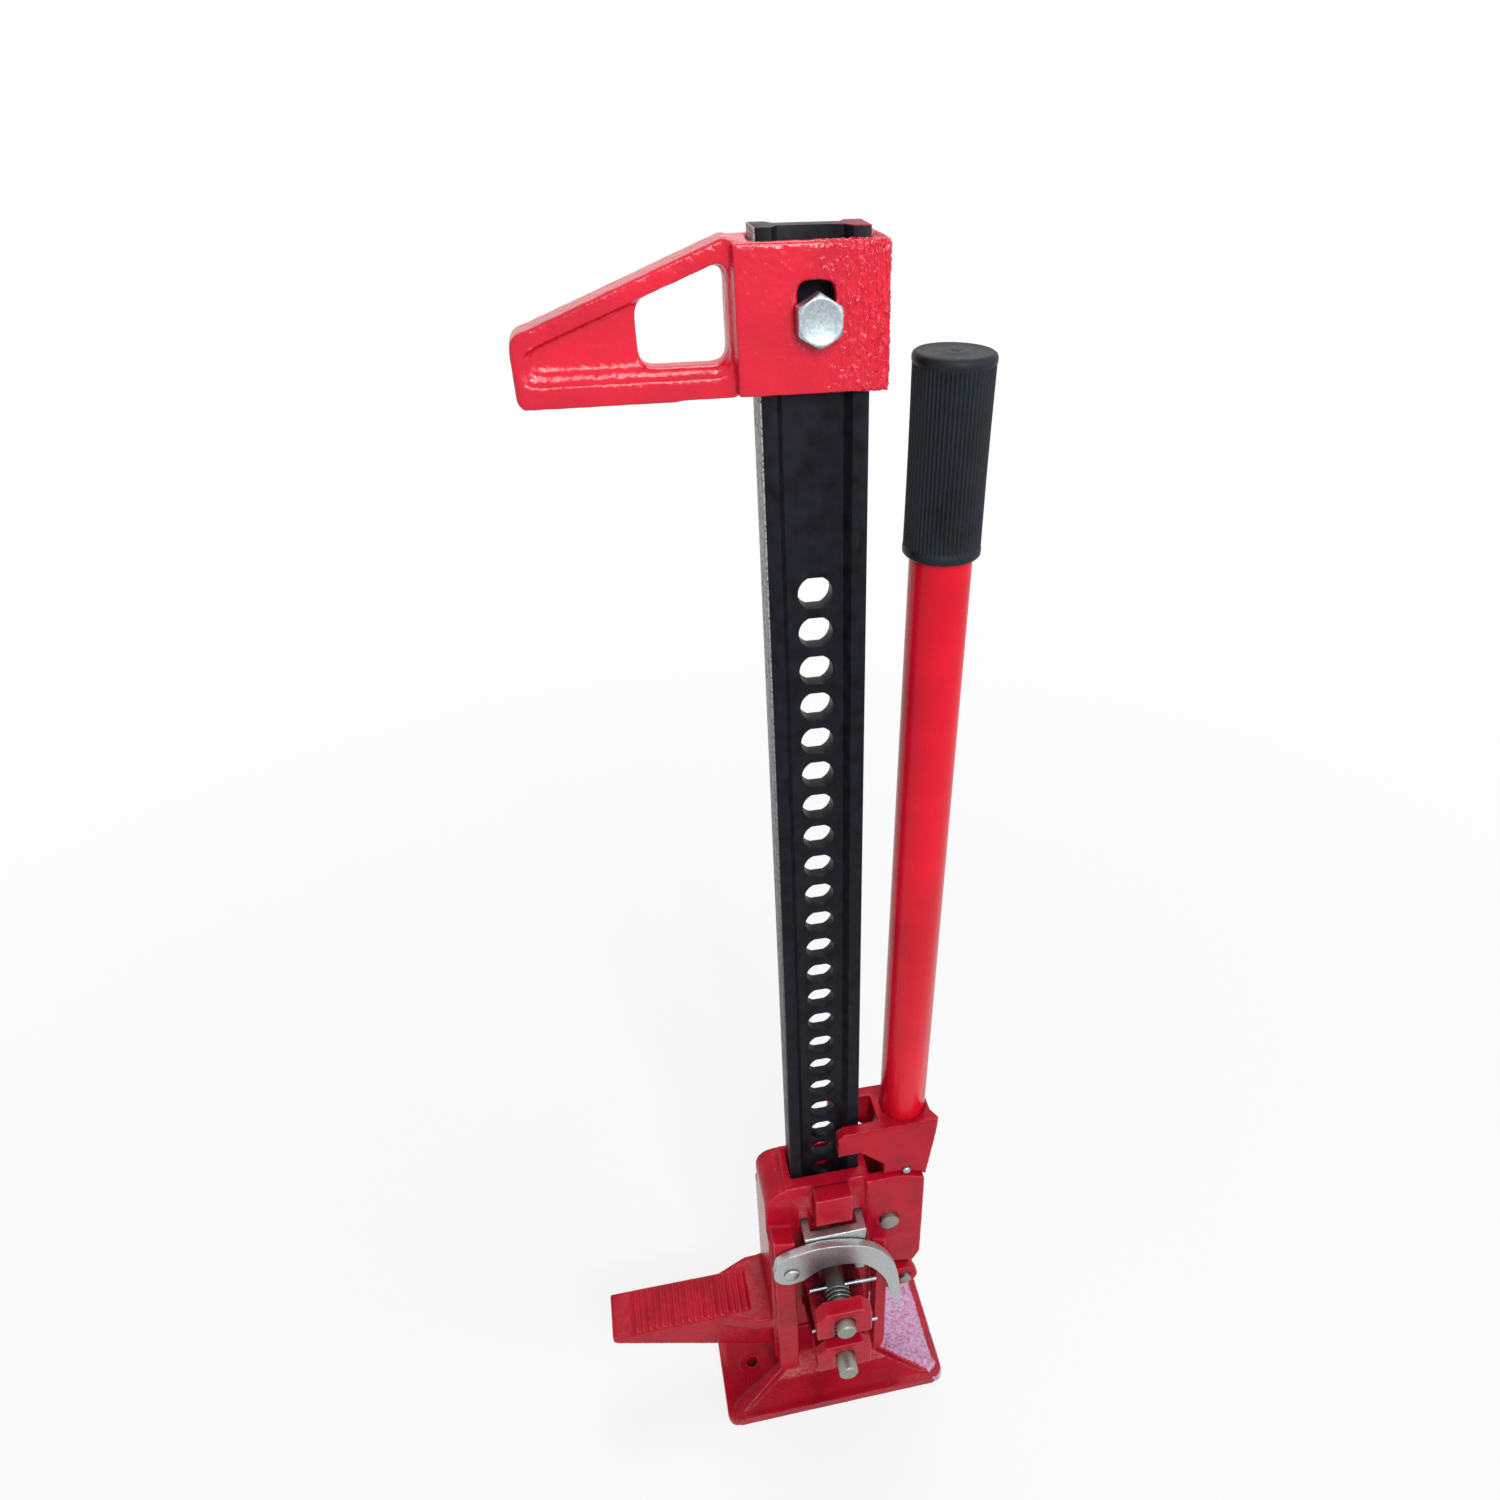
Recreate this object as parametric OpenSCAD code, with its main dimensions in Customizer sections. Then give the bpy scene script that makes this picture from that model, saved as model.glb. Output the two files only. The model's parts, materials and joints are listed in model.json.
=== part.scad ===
// High lift jack, lowered, with its handle upright beside the bar.
// The origin is on the floor under the bar's axis. +X points to the handle, the nose points to -X,
// +Z is up along the bar and the mechanism's front, with the climbing pins, looks along -Y.

/* [Bar] */
// Length of the steel bar
bar_len = 838; // [800:1:1250]
// Width of the bar across its two flanges
bar_w = 49.3; // [46:0.1:53]
// Depth of the flanges, front to back
bar_t = 19.3; // [17:0.1:22]
// Thickness of the web between the flanges
web_t = 8.8; // [6:0.1:10]
// Thickness of each flange
flange_t = 7.5; // [6:0.1:9]
// Spacing of the climbing holes
pitch = 21.2; // [20:0.1:22]
// Width of a climbing hole
hole_w = 17.5; // [16.5:0.1:18.5]
// Height of a climbing hole between its two flats
hole_h = 16; // [15:0.1:17]
// Number of climbing holes
hole_n = 28; // [24:1:28]
// Height of the lowest climbing hole above the floor
low_hole_z = 109.1; // [105:0.1:125]

/* [Base] */
// Length of the base plate along X
base_l = 179; // [160:1:230]
// Depth of the base plate along Y
base_d = 114; // [100:1:150]
// Radius of the base plate's corners
base_r = 9; // [5:0.5:14]
// Height of the flat lip round the base plate
lip_h = 8; // [6:0.5:10]
// Width of the flat lip
lip_w = 6; // [4:0.5:9]
// Height at which the sloping panels meet the hub
panel_top_z = 22; // [20:0.5:28]
// Height of the hub that holds the bar's foot
hub_h = 58; // [48:1:62]
// Wall of the hub round the bar
hub_wall = 8; // [6:0.5:9]
// Thickness of the base casting
base_wall = 6; // [4:0.5:7]
// Height of the diagonal ribs over the panels
ridge_h = 4.5; // [3:0.5:7]
// Width of a diagonal rib
ridge_w = 9; // [6:0.5:12]
// Diameter of the stake hole in the base
stake_hole_d = 8.5; // [6:0.1:11]
// Distance of the stake hole from the bar's axis, towards the nose
stake_hole_x = 64; // [58:1:66]
// Distance of the stake hole in front of the bar's axis
stake_hole_y = 12; // [6:1:18]
// Diameter of the pin that holds the bar in the base
foot_pin_d = 8; // [6:0.1:9]
// Height of that pin above the floor
foot_pin_z = 38; // [34:1:42]

/* [Top clamp] */
// Height of the clamp block
clamp_h = 60.7; // [56:0.1:68]
// Width of the clamp block from the bar's axis to the arm's side
clamp_left = 35; // [33:0.1:40]
// Width of the clamp block from the bar's axis to the handle's side
clamp_right = 32.6; // [31:0.1:38]
// Depth of the clamp block, front to back
clamp_t = 34; // [32:0.5:40]
// How far the bar stands out above the clamp
bar_proud = 3.6; // [2:0.1:8]
// Reach of the arm from the bar's axis to its tip
arm_reach = 128; // [115:1:145]
// Thickness of the arm's rim
arm_t = 20; // [16:0.5:24]
// Thickness of the arm's web inside its rim
arm_web_t = 10; // [7:0.5:12]
// Height of the arm's tip
arm_tip_h = 29; // [24:0.5:34]
// Width of the bolt's slot in the clamp
bolt_slot_w = 14.6; // [13.5:0.1:15.5]
// Height of the bolt's slot above the bolt's axis
bolt_slot_rise = 13.7; // [12:0.1:15]
// Height of the bolt's axis below the top of the clamp
bolt_drop = 29.8; // [27:0.1:32]
// Thread diameter of the clamp bolt
bolt_d = 12; // [10:1:12]
// Size of the bolt's head and nut across their flats
bolt_af = 19; // [18:0.5:20]
// Height of the bolt's head
bolt_head_h = 7.5; // [6:0.1:8.5]
// Height of the nut
nut_h = 10; // [8:0.1:11]

/* [Large runner] */
// Distance from the bar's axis to the runner's side above the nose
body_left = 46.5; // [44:0.1:50]
// Wall of the runner on the handle's side of the bar
body_wall = 6; // [5:0.1:7]
// Depth of the runner's upper block, front to back
body_t = 44; // [40:0.5:46]
// Height of the runner's top above the upper climbing pin
top_rise = 95.5; // [92:0.5:99]
// Depth of the runner's upper block below the upper climbing pin
wall_drop = 10; // [9:0.1:12]
// Depth of the two front legs below the upper climbing pin
leg_drop = 118.5; // [105:0.5:119]
// Width of a front leg
leg_w = 16; // [12:0.5:17]
// Distance from the bar's axis to the legs' front face
leg_front = 38.2; // [36:0.1:40]
// Reach of the nose from the bar's axis to its tip
nose_reach = 169; // [150:1:190]
// Width of the nose
nose_w = 38; // [34:0.5:44]
// Depth of the nose's top face below the upper climbing pin
nose_drop = 54.5; // [50:0.5:60]
// Height of the nose at its tip
nose_tip_h = 8; // [6:0.5:12]
// Height of the nose where it meets the runner
nose_root_h = 54; // [46:0.5:56]
// Width of the nose where it meets the runner
nose_root_w = 60; // [50:0.5:62]
// Spacing of the ribs across the nose
rib_pitch = 5; // [4:0.1:7]
// Height of the ribs across the nose
rib_h = 1.6; // [1:0.1:2.2]
// Number of ribs across the nose
rib_n = 18; // [8:1:18]
// Thickness of each of the two ears that carry the handle socket
ear_t = 8.6; // [7:0.1:12]
// Reach of the ears from the bar's axis
ear_reach = 72; // [70:0.5:76]

/* [Climbing pins] */
// Diameter of a climbing pin
pin_d = 14; // [12:0.1:14.5]
// Length of a climbing pin
pin_len = 80; // [78:0.5:82]
// Distance of the upper pin's outer end from the bar's axis
up_pin_out = 85; // [84.9:0.1:86]
// Distance of the lower pin's outer end from the bar's axis
low_pin_out = 92; // [91:0.1:93]
// Diameter of the cross rod through a climbing pin
rod_d = 3; // [2.5:0.1:3.5]
// Distance from a pin's outer end to its cross rod
rod_back = 38.5; // [38:0.1:39]
// Reach of a cross rod on the nose's side of its pin
rod_left = 20; // [16:0.5:22]
// Reach of a cross rod on the handle's side of its pin
rod_right = 31; // [20:0.5:31]
// Wire diameter of a pin's spring
wire_d = 1.6; // [1.2:0.1:1.7]
// Outer diameter of a pin's spring
spring_d = 18.6; // [18:0.1:18.8]
// Number of curls in a pin's spring
spring_n = 4; // [3:1:4]
// Width of the yoke in front of a pin
yoke_w = 41; // [38:0.5:44]
// Height of a yoke above its pin's axis
yoke_rise = 14; // [12:0.5:16]
// Height of a yoke below its pin's axis
yoke_drop = 14.5; // [12:0.5:15.5]
// Distance of the yokes' front faces from the bar's axis
yoke_front = 78; // [77:0.1:79]
// Thickness of the upper yoke's plate
up_yoke_t = 13; // [11:0.5:13]
// Thickness of the lower yoke's plate
low_yoke_t = 9; // [7:0.5:9]

/* [Small runner] */
// Width of the small runner
small_w = 67; // [63:0.1:67]
// Depth of the small runner, front to back
small_t = 41; // [38:0.5:41.5]
// Depth of the small runner below the lower climbing pin
small_drop = 44; // [36:0.5:46]
// Height of the small runner's arm
arm_h = 28; // [24:0.5:30]
// Distance of the link pin's axis from the bar's axis
link_x = 64; // [62:0.1:65]
// Depth of the link pin's axis below the lower climbing pin
link_drop = 15.1; // [12:0.1:18]

/* [Linkage] */
// Distance of the handle's pivot from the bar's axis
pivot_x = 45.8; // [45.4:0.1:47]
// Height of the handle's pivot above the upper climbing pin
pivot_rise = 36.2; // [35:0.1:38]
// Diameter of the pivot pin
pivot_d = 14; // [12:0.1:14]
// Angle that the handle swings through
swing = 70; // [66:1:72]
// Diameter of the two pins of the link
link_pin_d = 9; // [8:0.1:9.5]
// Thickness of the link
link_t = 14; // [12:0.1:14.5]
// Width of the link between its eyes
link_w = 12; // [10:0.5:12.5]
// Wall of the link round its pins
link_wall = 4.2; // [3.5:0.1:4.3]

/* [Handle] */
// Outer diameter of the handle tube
tube_d = 32; // [28:0.1:33]
// Wall of the handle tube
tube_wall = 2.5; // [2:0.1:4]
// Length of the handle tube
tube_len = 540; // [420:1:900]
// Lean of the handle away from the bar
lean = 0.87; // [0:0.01:2]
// Distance of the tube's lower end from the bar's axis
tube_x = 58.5; // [58:0.1:61]
// Outer width of the socket round the tube, along X
socket_w = 43; // [42:0.1:46]
// Outer depth of the socket, front to back
socket_t = 41; // [38:0.1:42]
// Height of the socket from the ears' round tops to its rim
socket_h = 50; // [46:0.5:60]
// Radius of the socket's round floor about the pivot
socket_floor_rise = 49.5; // [49.2:0.1:51]
// Length of the rubber grip
grip_len = 95; // [80:1:140]
// Outer diameter of the grip
grip_d = 39.5; // [36:0.1:46]
// Number of ribs round the grip
grip_rib_n = 56; // [24:1:64]
// Depth of the grooves between the grip's ribs
grip_rib_h = 0.7; // [0.4:0.1:1]

/* [Reversing lever] */
// Reach of the reversing lever from its pivot to its tail
lever_reach = 82.5; // [78:0.5:86]
// Thickness of the reversing lever
lever_t = 7; // [5:0.1:7]
// Radius of the lever's head round its pivot
lever_head_r = 13; // [11:0.1:14]
// Distance of the lever's pivot from the bar's axis, towards the nose
lever_x = 32.5; // [31:0.1:34]
// Height of the lever's pivot above the upper climbing pin
lever_rise = 24.2; // [23:0.1:28]
// Diameter of the lever's rivet
lever_pin_d = 8; // [6:0.1:9]
// Thickness of the stirrup's steel
stirrup_t = 5; // [4:0.1:6]
// Width of the stirrup, over both arms
stirrup_w = 46; // [44:0.5:48]
// Height of the stirrup's top face above the upper climbing pin
stirrup_rise = 50.5; // [49:0.1:53]
// How far the stirrup stands off the bar's axis, towards the handle
stirrup_x = 2; // [1:0.1:3]

/* [Fits] */
// Clearance between the bar and the runners, on each side
slide_gap = 0.4; // [0.3:0.05:0.5]
// Clearance of the clamp bolt in the bar
bolt_gap = 0.5; // [0.3:0.05:1]
// Radial clearance of a pin in its bore
pin_gap = 0.08; // [0.05:0.01:0.1]
// Radial clearance of the link pin in the link's open slot
open_gap = 0.5; // [0.4:0.05:0.6]
// Clearance between faces that swing past each other
side_gap = 0.4; // [0.3:0.05:0.5]

/* [Hidden] */

red = "#c81c2b";
dark_red = "#a51826";
black_paint = "#1a191d";
rubber = "#1d222b";
zinc = "#a9adb0";
pin_steel = "#8d9187";

over = 1;                                   // overrun of every cut and lap of every join
round_n = 64;                               // steps of a full round surface

// Bar
foot_floor = 4;                             // floor of the hub under the bar
bar_top = foot_floor + bar_len;
web_fillet = 3;                             // slope between the web and a flange
top_hole_z = low_hole_z + (hole_n - 1) * pitch;

// Climbing pins and runners
low_z = low_hole_z;
up_z = low_hole_z + 2 * pitch;
slot_w = bar_w + 2 * slide_gap;
slot_t = bar_t + 2 * slide_gap;
rod_y_up = -up_pin_out + rod_back;
rod_y_low = -low_pin_out + rod_back;
yoke_slot_gap = 0.5;                        // clearance of a pin in its yoke's slot
arm_gap = 0.4;                              // clearance of a yoke's arms round the spring
rod_room = 2;                               // clearance of a yoke's arms under the cross rod
small_front = small_t / 2;
front = body_t / 2;
step_gap = 3.4;                             // least gap between the two runners
small_top = up_z - wall_drop - step_gap;
small_bottom = low_z - small_drop;

// Linkage
pivot_z = up_z + pivot_rise;
crank_r = pitch / (2 * sin(swing / 2));
crank_x = pivot_x + crank_r * cos(swing / 2);
crank_z = pivot_z + crank_r * sin(swing / 2);
link_z = low_z - link_drop;
link_bulge = crank_r * (1 - cos(swing / 2));
link_eye_r = link_pin_d / 2 + link_wall;
cheek_in = link_t / 2 + side_gap;
cheek_t = 7.6;                              // thickness of the socket's cheeks
ear_in = cheek_in + cheek_t + side_gap;
cheek_out = cheek_in + cheek_t;
ear_out = ear_in + ear_t;
body_right = slot_w / 2 + body_wall;
ear_under = 1.2;                            // the ears' tops stay this far under the socket's floor
ear_r = socket_floor_rise - ear_under;
pin_head_t = 3;                             // how far a pin stands out past its ear
split_d = 3;                                // split pin wire
split_back = 5;                             // split pin's distance past the ear

// Handle
socket_floor_z = pivot_z + socket_floor_rise;
socket_rim_z = socket_floor_z + socket_h;
socket_shift = 1;                           // the socket's wall is thicker away from the bar
socket_x = tube_x + socket_shift;
socket_wall_r = 5;                          // corner radius of the socket
tube_in = 46;                               // length of tube inside the socket
tube_z = socket_rim_z - tube_in;
grip_cap = 9;                               // closed end of the grip above the tube
grip_z = tube_len + grip_cap - grip_len;

// Lever and stirrup
lever_z = up_z + lever_rise;
washer_gap = 0.3;                           // running gap behind the lever
lever_back = leg_front + washer_gap;
stirrup_z = up_z + stirrup_rise;
stirrup_shy = 0.2;                          // the stirrup stays behind the legs' front
stirrup_front = leg_front - stirrup_shy;
stirrup_arm_in = 5;                         // depth of the stirrup's arms in their pockets

function arc(x, z, r, a0, a1, n = 8) =
    [for (i = [0 : n]) let (a = a0 + (a1 - a0) * i / n) [x + r * cos(a), z + r * sin(a)]];
// Rounded rectangle as points
function round_rect(x0, z0, x1, z1, r) = concat(
    arc(x1 - r, z0 + r, r, -90, 0), arc(x1 - r, z1 - r, r, 0, 90),
    arc(x0 + r, z1 - r, r, 90, 180), arc(x0 + r, z0 + r, r, 180, 270));
function unit(v) = v / norm(v);
// Closed outline with each corner rounded over the given length of its edges
function round_corners(p, r, n = 6) = [for (i = [0 : len(p) - 1]) let (
        b = p[i], d = b + r * unit(p[(i + len(p) - 1) % len(p)] - b),
        e = b + r * unit(p[(i + 1) % len(p)] - b))
    for (k = [0 : n]) let (t = k / n) (1 - t) * (1 - t) * d + 2 * t * (1 - t) * b + t * t * e];
// Closed outline with its corners cut back the given number of times
soften_share = 0.25;                        // of an edge that a cut takes at each end
function soften(p, times) = times == 0 ? p : soften(
    [for (i = [0 : len(p) - 1]) let (a = p[i], b = p[(i + 1) % len(p)])
        each [a + (b - a) * soften_share, b + (a - b) * soften_share]], times - 1);
function scaled(shares, sx, sz, x = 0, z = 0) = [for (s = shares) [x + s[0] * sx, z + s[1] * sz]];

// Front view outline as a plate between two depths
module plate(points, y0, y1) {
    translate([0, y1, 0]) rotate([90, 0, 0]) linear_extrude(y1 - y0) polygon(points);
}

// Side view outline, as depths and heights, between two places along X
module plate_x(points, x0, x1) {
    translate([x0, 0, 0]) rotate([90, 0, 90]) linear_extrude(x1 - x0) polygon(points);
}

// Round bar along Y between two depths
module rod_y(d, x, z, y0, y1) {
    translate([x, y1, z]) rotate([90, 0, 0]) cylinder(d = d, h = y1 - y0, $fn = round_n);
}

module box(x0, y0, z0, x1, y1, z1) {
    translate([x0, y0, z0]) cube([x1 - x0, y1 - y0, z1 - z0]);
}

// Solid between two level rectangles centred on the Z axis
module frustum(lx0, ly0, z0, lx1, ly1, z1) {
    polyhedron(points = [
        [-lx0, -ly0, z0], [lx0, -ly0, z0], [lx0, ly0, z0], [-lx0, ly0, z0],
        [-lx1, -ly1, z1], [lx1, -ly1, z1], [lx1, ly1, z1], [-lx1, ly1, z1]],
        faces = [[0, 1, 2, 3], [7, 6, 5, 4], [4, 5, 1, 0], [5, 6, 2, 1], [6, 7, 3, 2], [7, 4, 0, 3]]);
}

// The bar

module bar_section() {
    half = bar_w / 2;
    t = bar_t / 2;
    w = web_t / 2;
    f = half - flange_t;
    right = [[half, -t], [half, t], [f, t], [f - web_fillet, w]];
    polygon(concat(right, [for (p = [[-(f - web_fillet), w], [-f, t], [-half, t], [-half, -t],
        [-f, -t], [-(f - web_fillet), -w]]) p], [[f - web_fillet, -w], [f, -t]]));
}

module climbing_hole(z) {
    intersection() {
        rod_y(hole_w, 0, z, -bar_t, bar_t);
        box(-hole_w, -bar_t - over, z - hole_h / 2, hole_w, bar_t + over, z + hole_h / 2);
    }
}

module bar() {
    color(black_paint) difference() {
        translate([0, 0, foot_floor]) linear_extrude(bar_len) bar_section();
        for (i = [0 : hole_n - 1]) climbing_hole(low_hole_z + i * pitch);
        rod_y(bolt_d + 2 * bolt_gap, 0, bolt_z, -bar_t, bar_t);
        rod_y(foot_pin_d + 2 * pin_gap, 0, foot_pin_z, -bar_t, bar_t);
    }
}

// The base plate

hub_x = bar_w / 2 + hub_wall;
hub_y = bar_t / 2 + hub_wall;
panel_mid_share = 0.5;                      // where a panel's slope steepens
panel_mid_rise_share = 0.34;                // how much of its rise it has there
panel_x = base_l / 2 - lip_w;
panel_y = base_d / 2 - lip_w;
mid_x = panel_x + (hub_x - panel_x) * panel_mid_share;
mid_y = panel_y + (hub_y - panel_y) * panel_mid_share;
mid_z = lip_h + (panel_top_z - lip_h) * panel_mid_rise_share;

module panels(shrink) {
    frustum(panel_x - shrink, panel_y - shrink, lip_h - over - shrink,
        panel_x - shrink, panel_y - shrink, lip_h - shrink);
    frustum(panel_x - shrink, panel_y - shrink, lip_h - shrink,
        mid_x - shrink / 2, mid_y - shrink / 2, mid_z - shrink);
    frustum(mid_x - shrink / 2, mid_y - shrink / 2, mid_z - shrink, hub_x, hub_y, panel_top_z - shrink);
}

// One diagonal rib, from a corner of the lip up to the hub, in line with the bar's side
module ridge() {
    w = ridge_w / 2;
    lap = 1;                                // how far a rib is sunk in the lip and in the hub
    start_h = 1;                            // height of its lower end over the lip
    x0 = panel_x - w;
    y0 = panel_y - w;
    x1 = bar_w / 2;
    low = panel_top_z - base_wall;
    high = panel_top_z + ridge_h;
    polyhedron(points = [
        [x0 + w, y0 - w, lip_h - lap], [x0 - w, y0 + w, lip_h - lap],
        [x1 + w, hub_y - lap, low], [x1 - w, hub_y - lap, low],
        [x0 + w, y0 - w / 2, lip_h + start_h], [x0 - w / 2, y0 + w, lip_h + start_h],
        [x1 + w, hub_y - lap, high], [x1 - w / 2, hub_y - lap, high]],
        faces = [[0, 1, 3], [0, 3, 2], [4, 6, 7], [4, 7, 5], [0, 4, 5], [0, 5, 1], [2, 3, 7], [2, 7, 6],
            [0, 2, 6], [0, 6, 4], [1, 5, 7], [1, 7, 3]]);
}

module base_plate() {
    stake_boss_r = stake_hole_d / 2 + base_wall;
    pocket_lap = 0.5;                       // the pocket under the lip runs this far into the hollow
    color(red) difference() {
        union() {
            difference() {
                union() {
                    linear_extrude(lip_h) polygon(round_rect(-base_l / 2, -base_d / 2,
                        base_l / 2, base_d / 2, base_r));
                    panels(0);
                }
                translate([0, 0, -over]) linear_extrude(lip_h - base_wall + over + pocket_lap)
                    polygon(round_rect(-panel_x + base_wall, -panel_y + base_wall,
                        panel_x - base_wall, panel_y - base_wall, base_r / 2));
                panels(base_wall);
            }
            for (sx = [0, 1], sy = [0, 1]) mirror([sx, 0, 0]) mirror([0, sy, 0]) ridge();
            box(-hub_x, -hub_y, 0, hub_x, hub_y, hub_h);
            translate([-stake_hole_x, -stake_hole_y, 0])
                cylinder(r = stake_boss_r, h = lip_h + base_wall / 2, $fn = round_n);
        }
        box(-bar_w / 2 - slide_gap / 2, -bar_t / 2 - slide_gap / 2, foot_floor,
            bar_w / 2 + slide_gap / 2, bar_t / 2 + slide_gap / 2, hub_h + over);
        rod_y(foot_pin_d + 2 * pin_gap, 0, foot_pin_z, -hub_y - over, hub_y + over);
        translate([-stake_hole_x, -stake_hole_y, -over])
            cylinder(d = stake_hole_d, h = hub_h, $fn = round_n);
    }
}

foot_pin_out = 1;                           // how far the pin stands out of the hub

module foot_pin() {
    color(zinc) rod_y(foot_pin_d, 0, foot_pin_z, -hub_y - foot_pin_out, hub_y + foot_pin_out);
}

// The top clamp and its bolt

clamp_top = bar_top - bar_proud;
clamp_bottom = clamp_top - clamp_h;
bolt_z = clamp_top - bolt_drop;
rim = 9;                                    // rim of the arm over its window and its web
web_corner = 6;                             // rounding of the window and the web's outline
window_gap = 2;                             // window's distance from the block
window_w = 37;                              // width of the window
web_rim = 10.2;                             // rim under the web
web_tip_rim = 5;                            // rim at the arm's tip
web_step = 4;                               // the web is sunk in two steps, this far inside each other
window_ledge = 0.6;                         // the web runs this far past the window's edges
window_x = clamp_left + window_gap;
tip_r = 8;                                  // rounding of the arm's tip
shoulder_w = 2;                             // the arm starts to slope past this shoulder
shoulder_rise = 1.2;                        // the shoulder stands this far over the block
shoulder_z = clamp_top + shoulder_rise;
arm_hang = 1.7;                             // the arm's underside hangs this far under the block
arm_z = clamp_bottom - arm_hang;
tooth_n = 24;                               // teeth under the arm
tooth_h = 1;                                // their height
tooth_pitch = 2.6;                          // their spacing
nib = 3;                                    // size of the nib under the arm's tip

// Height of the arm's sloping top edge at a distance from the bar's axis
function arm_top(x) = shoulder_z
    + (arm_z + arm_tip_h - shoulder_z) * (x - clamp_left) / (arm_reach - clamp_left);

module arm_outline() {
    polygon(concat(
        [[over - clamp_left, arm_z], [over - clamp_left, shoulder_z], [-clamp_left - shoulder_w, shoulder_z]],
        arc(tip_r - arm_reach, arm_top(arm_reach - tip_r) - tip_r, tip_r, 90, 180, 5),
        [[-arm_reach, arm_z + nib], [nib - arm_reach, arm_z - tooth_h]],
        [for (i = [0 : 2 * tooth_n]) [2 * nib - arm_reach + i * tooth_pitch / 2,
            i % 2 == 0 ? arm_z : arm_z - tooth_h]]));
}

// Four-sided outline inside the arm's rim, between two distances from the bar's axis
module arm_inside(x0, x1, top_rim, low_rim) {
    corner_share = 0.45;                    // most of the short end that a corner's rounding takes
    low = arm_z + low_rim;
    high = arm_top(x1) - top_rim;
    polygon(round_corners([[-x1, low], [-x0, low], [-x0, arm_top(x0) - top_rim], [-x1, high]],
        min(web_corner, corner_share * (high - low))));
}

module top_clamp() {
    floor_rim = web_rim + web_step + window_ledge;
    web_mid_t = (arm_t + arm_web_t) / 2;
    slot_r = 3;                             // rounding at the top of the bolt's slot
    color(red) difference() {
        union() {
            box(-clamp_left, -clamp_t / 2, clamp_bottom, clamp_right, clamp_t / 2, clamp_top);
            translate([0, arm_t / 2, 0]) rotate([90, 0, 0]) linear_extrude(arm_t) arm_outline();
        }
        box(-slot_w / 2, -slot_t / 2, arm_z - over, slot_w / 2, slot_t / 2, clamp_top + over);
        translate([0, clamp_t, 0]) rotate([90, 0, 0]) linear_extrude(2 * clamp_t)
            arm_inside(window_x + window_ledge, window_x + window_w, rim + window_ledge, floor_rim);
        for (s = [0, 1]) mirror([0, s, 0]) {
            translate([0, -web_mid_t / 2, 0]) rotate([90, 0, 0]) linear_extrude(arm_t)
                arm_inside(window_x, arm_reach - web_tip_rim, rim, web_rim);
            translate([0, -arm_web_t / 2, 0]) rotate([90, 0, 0]) linear_extrude(arm_t)
                arm_inside(window_x, arm_reach - web_tip_rim - web_step, rim, web_rim + web_step);
        }
        plate(concat(arc(0, bolt_z, bolt_slot_w / 2, 180, 360, 16),
            arc(bolt_slot_w / 2 - slot_r, bolt_z + bolt_slot_rise - slot_r, slot_r, 0, 90),
            arc(slot_r - bolt_slot_w / 2, bolt_z + bolt_slot_rise - slot_r, slot_r, 90, 180)),
            -clamp_t, clamp_t);
    }
}

module clamp_bolt() {
    thread_end = 4;                         // thread that shows past the nut
    bevel_share = 1.8;                      // bevel of the head's corners, in head heights
    shank = clamp_t + nut_h + thread_end;
    head_r = bolt_af / 2 / cos(30);
    color(zinc) union() {
        rod_y(bolt_d, 0, bolt_z, -clamp_t / 2, -clamp_t / 2 + shank);
        intersection() {
            translate([0, -clamp_t / 2, bolt_z]) rotate([90, 30, 0])
                cylinder(r = head_r, h = bolt_head_h, $fn = 6);
            translate([0, -clamp_t / 2 - bolt_head_h, bolt_z]) rotate([-90, 0, 0])
                cylinder(r1 = bolt_af / 2, r2 = bolt_af / 2 + bolt_head_h * bevel_share, h = bolt_head_h,
                $fn = round_n);
        }
    }
}

module clamp_nut() {
    nut_r = bolt_af / 2 / cos(30);
    color(zinc) difference() {
        translate([0, clamp_t / 2 + nut_h, bolt_z]) rotate([90, 30, 0])
            cylinder(r = nut_r, h = nut_h, $fn = 6);
        rod_y(bolt_d, 0, bolt_z, clamp_t / 2 - over, clamp_t / 2 + nut_h + over);
    }
}

// Yoke in front of a climbing pin, with its two arms back to the runner

yoke_chamfer_share = 0.5;                   // of the yoke's rise

module yoke(z, plate_t, back) {
    half = yoke_w / 2;
    cut = yoke_rise * yoke_chamfer_share;
    arm_in = spring_d / 2 + arm_gap;
    arm_top_z = z - rod_d / 2 - rod_room;
    slot_r = pin_d / 2 + yoke_slot_gap;
    difference() {
        plate([[-half, z - yoke_drop], [half, z - yoke_drop], [half, z + yoke_rise - cut],
            [half - cut, z + yoke_rise], [-half + cut, z + yoke_rise], [-half, z + yoke_rise - cut]],
            -yoke_front, -yoke_front + plate_t);
        rod_y(2 * slot_r, 0, z, -yoke_front - over, -yoke_front + plate_t + over);
        box(-slot_r, -yoke_front - over, z - yoke_drop - over, slot_r, -yoke_front + plate_t + over, z);
    }
    for (s = [0, 1]) mirror([s, 0, 0])
        box(arm_in, -yoke_front + plate_t - over, z - yoke_drop, half, -back, arm_top_z);
}

// The small runner

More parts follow.
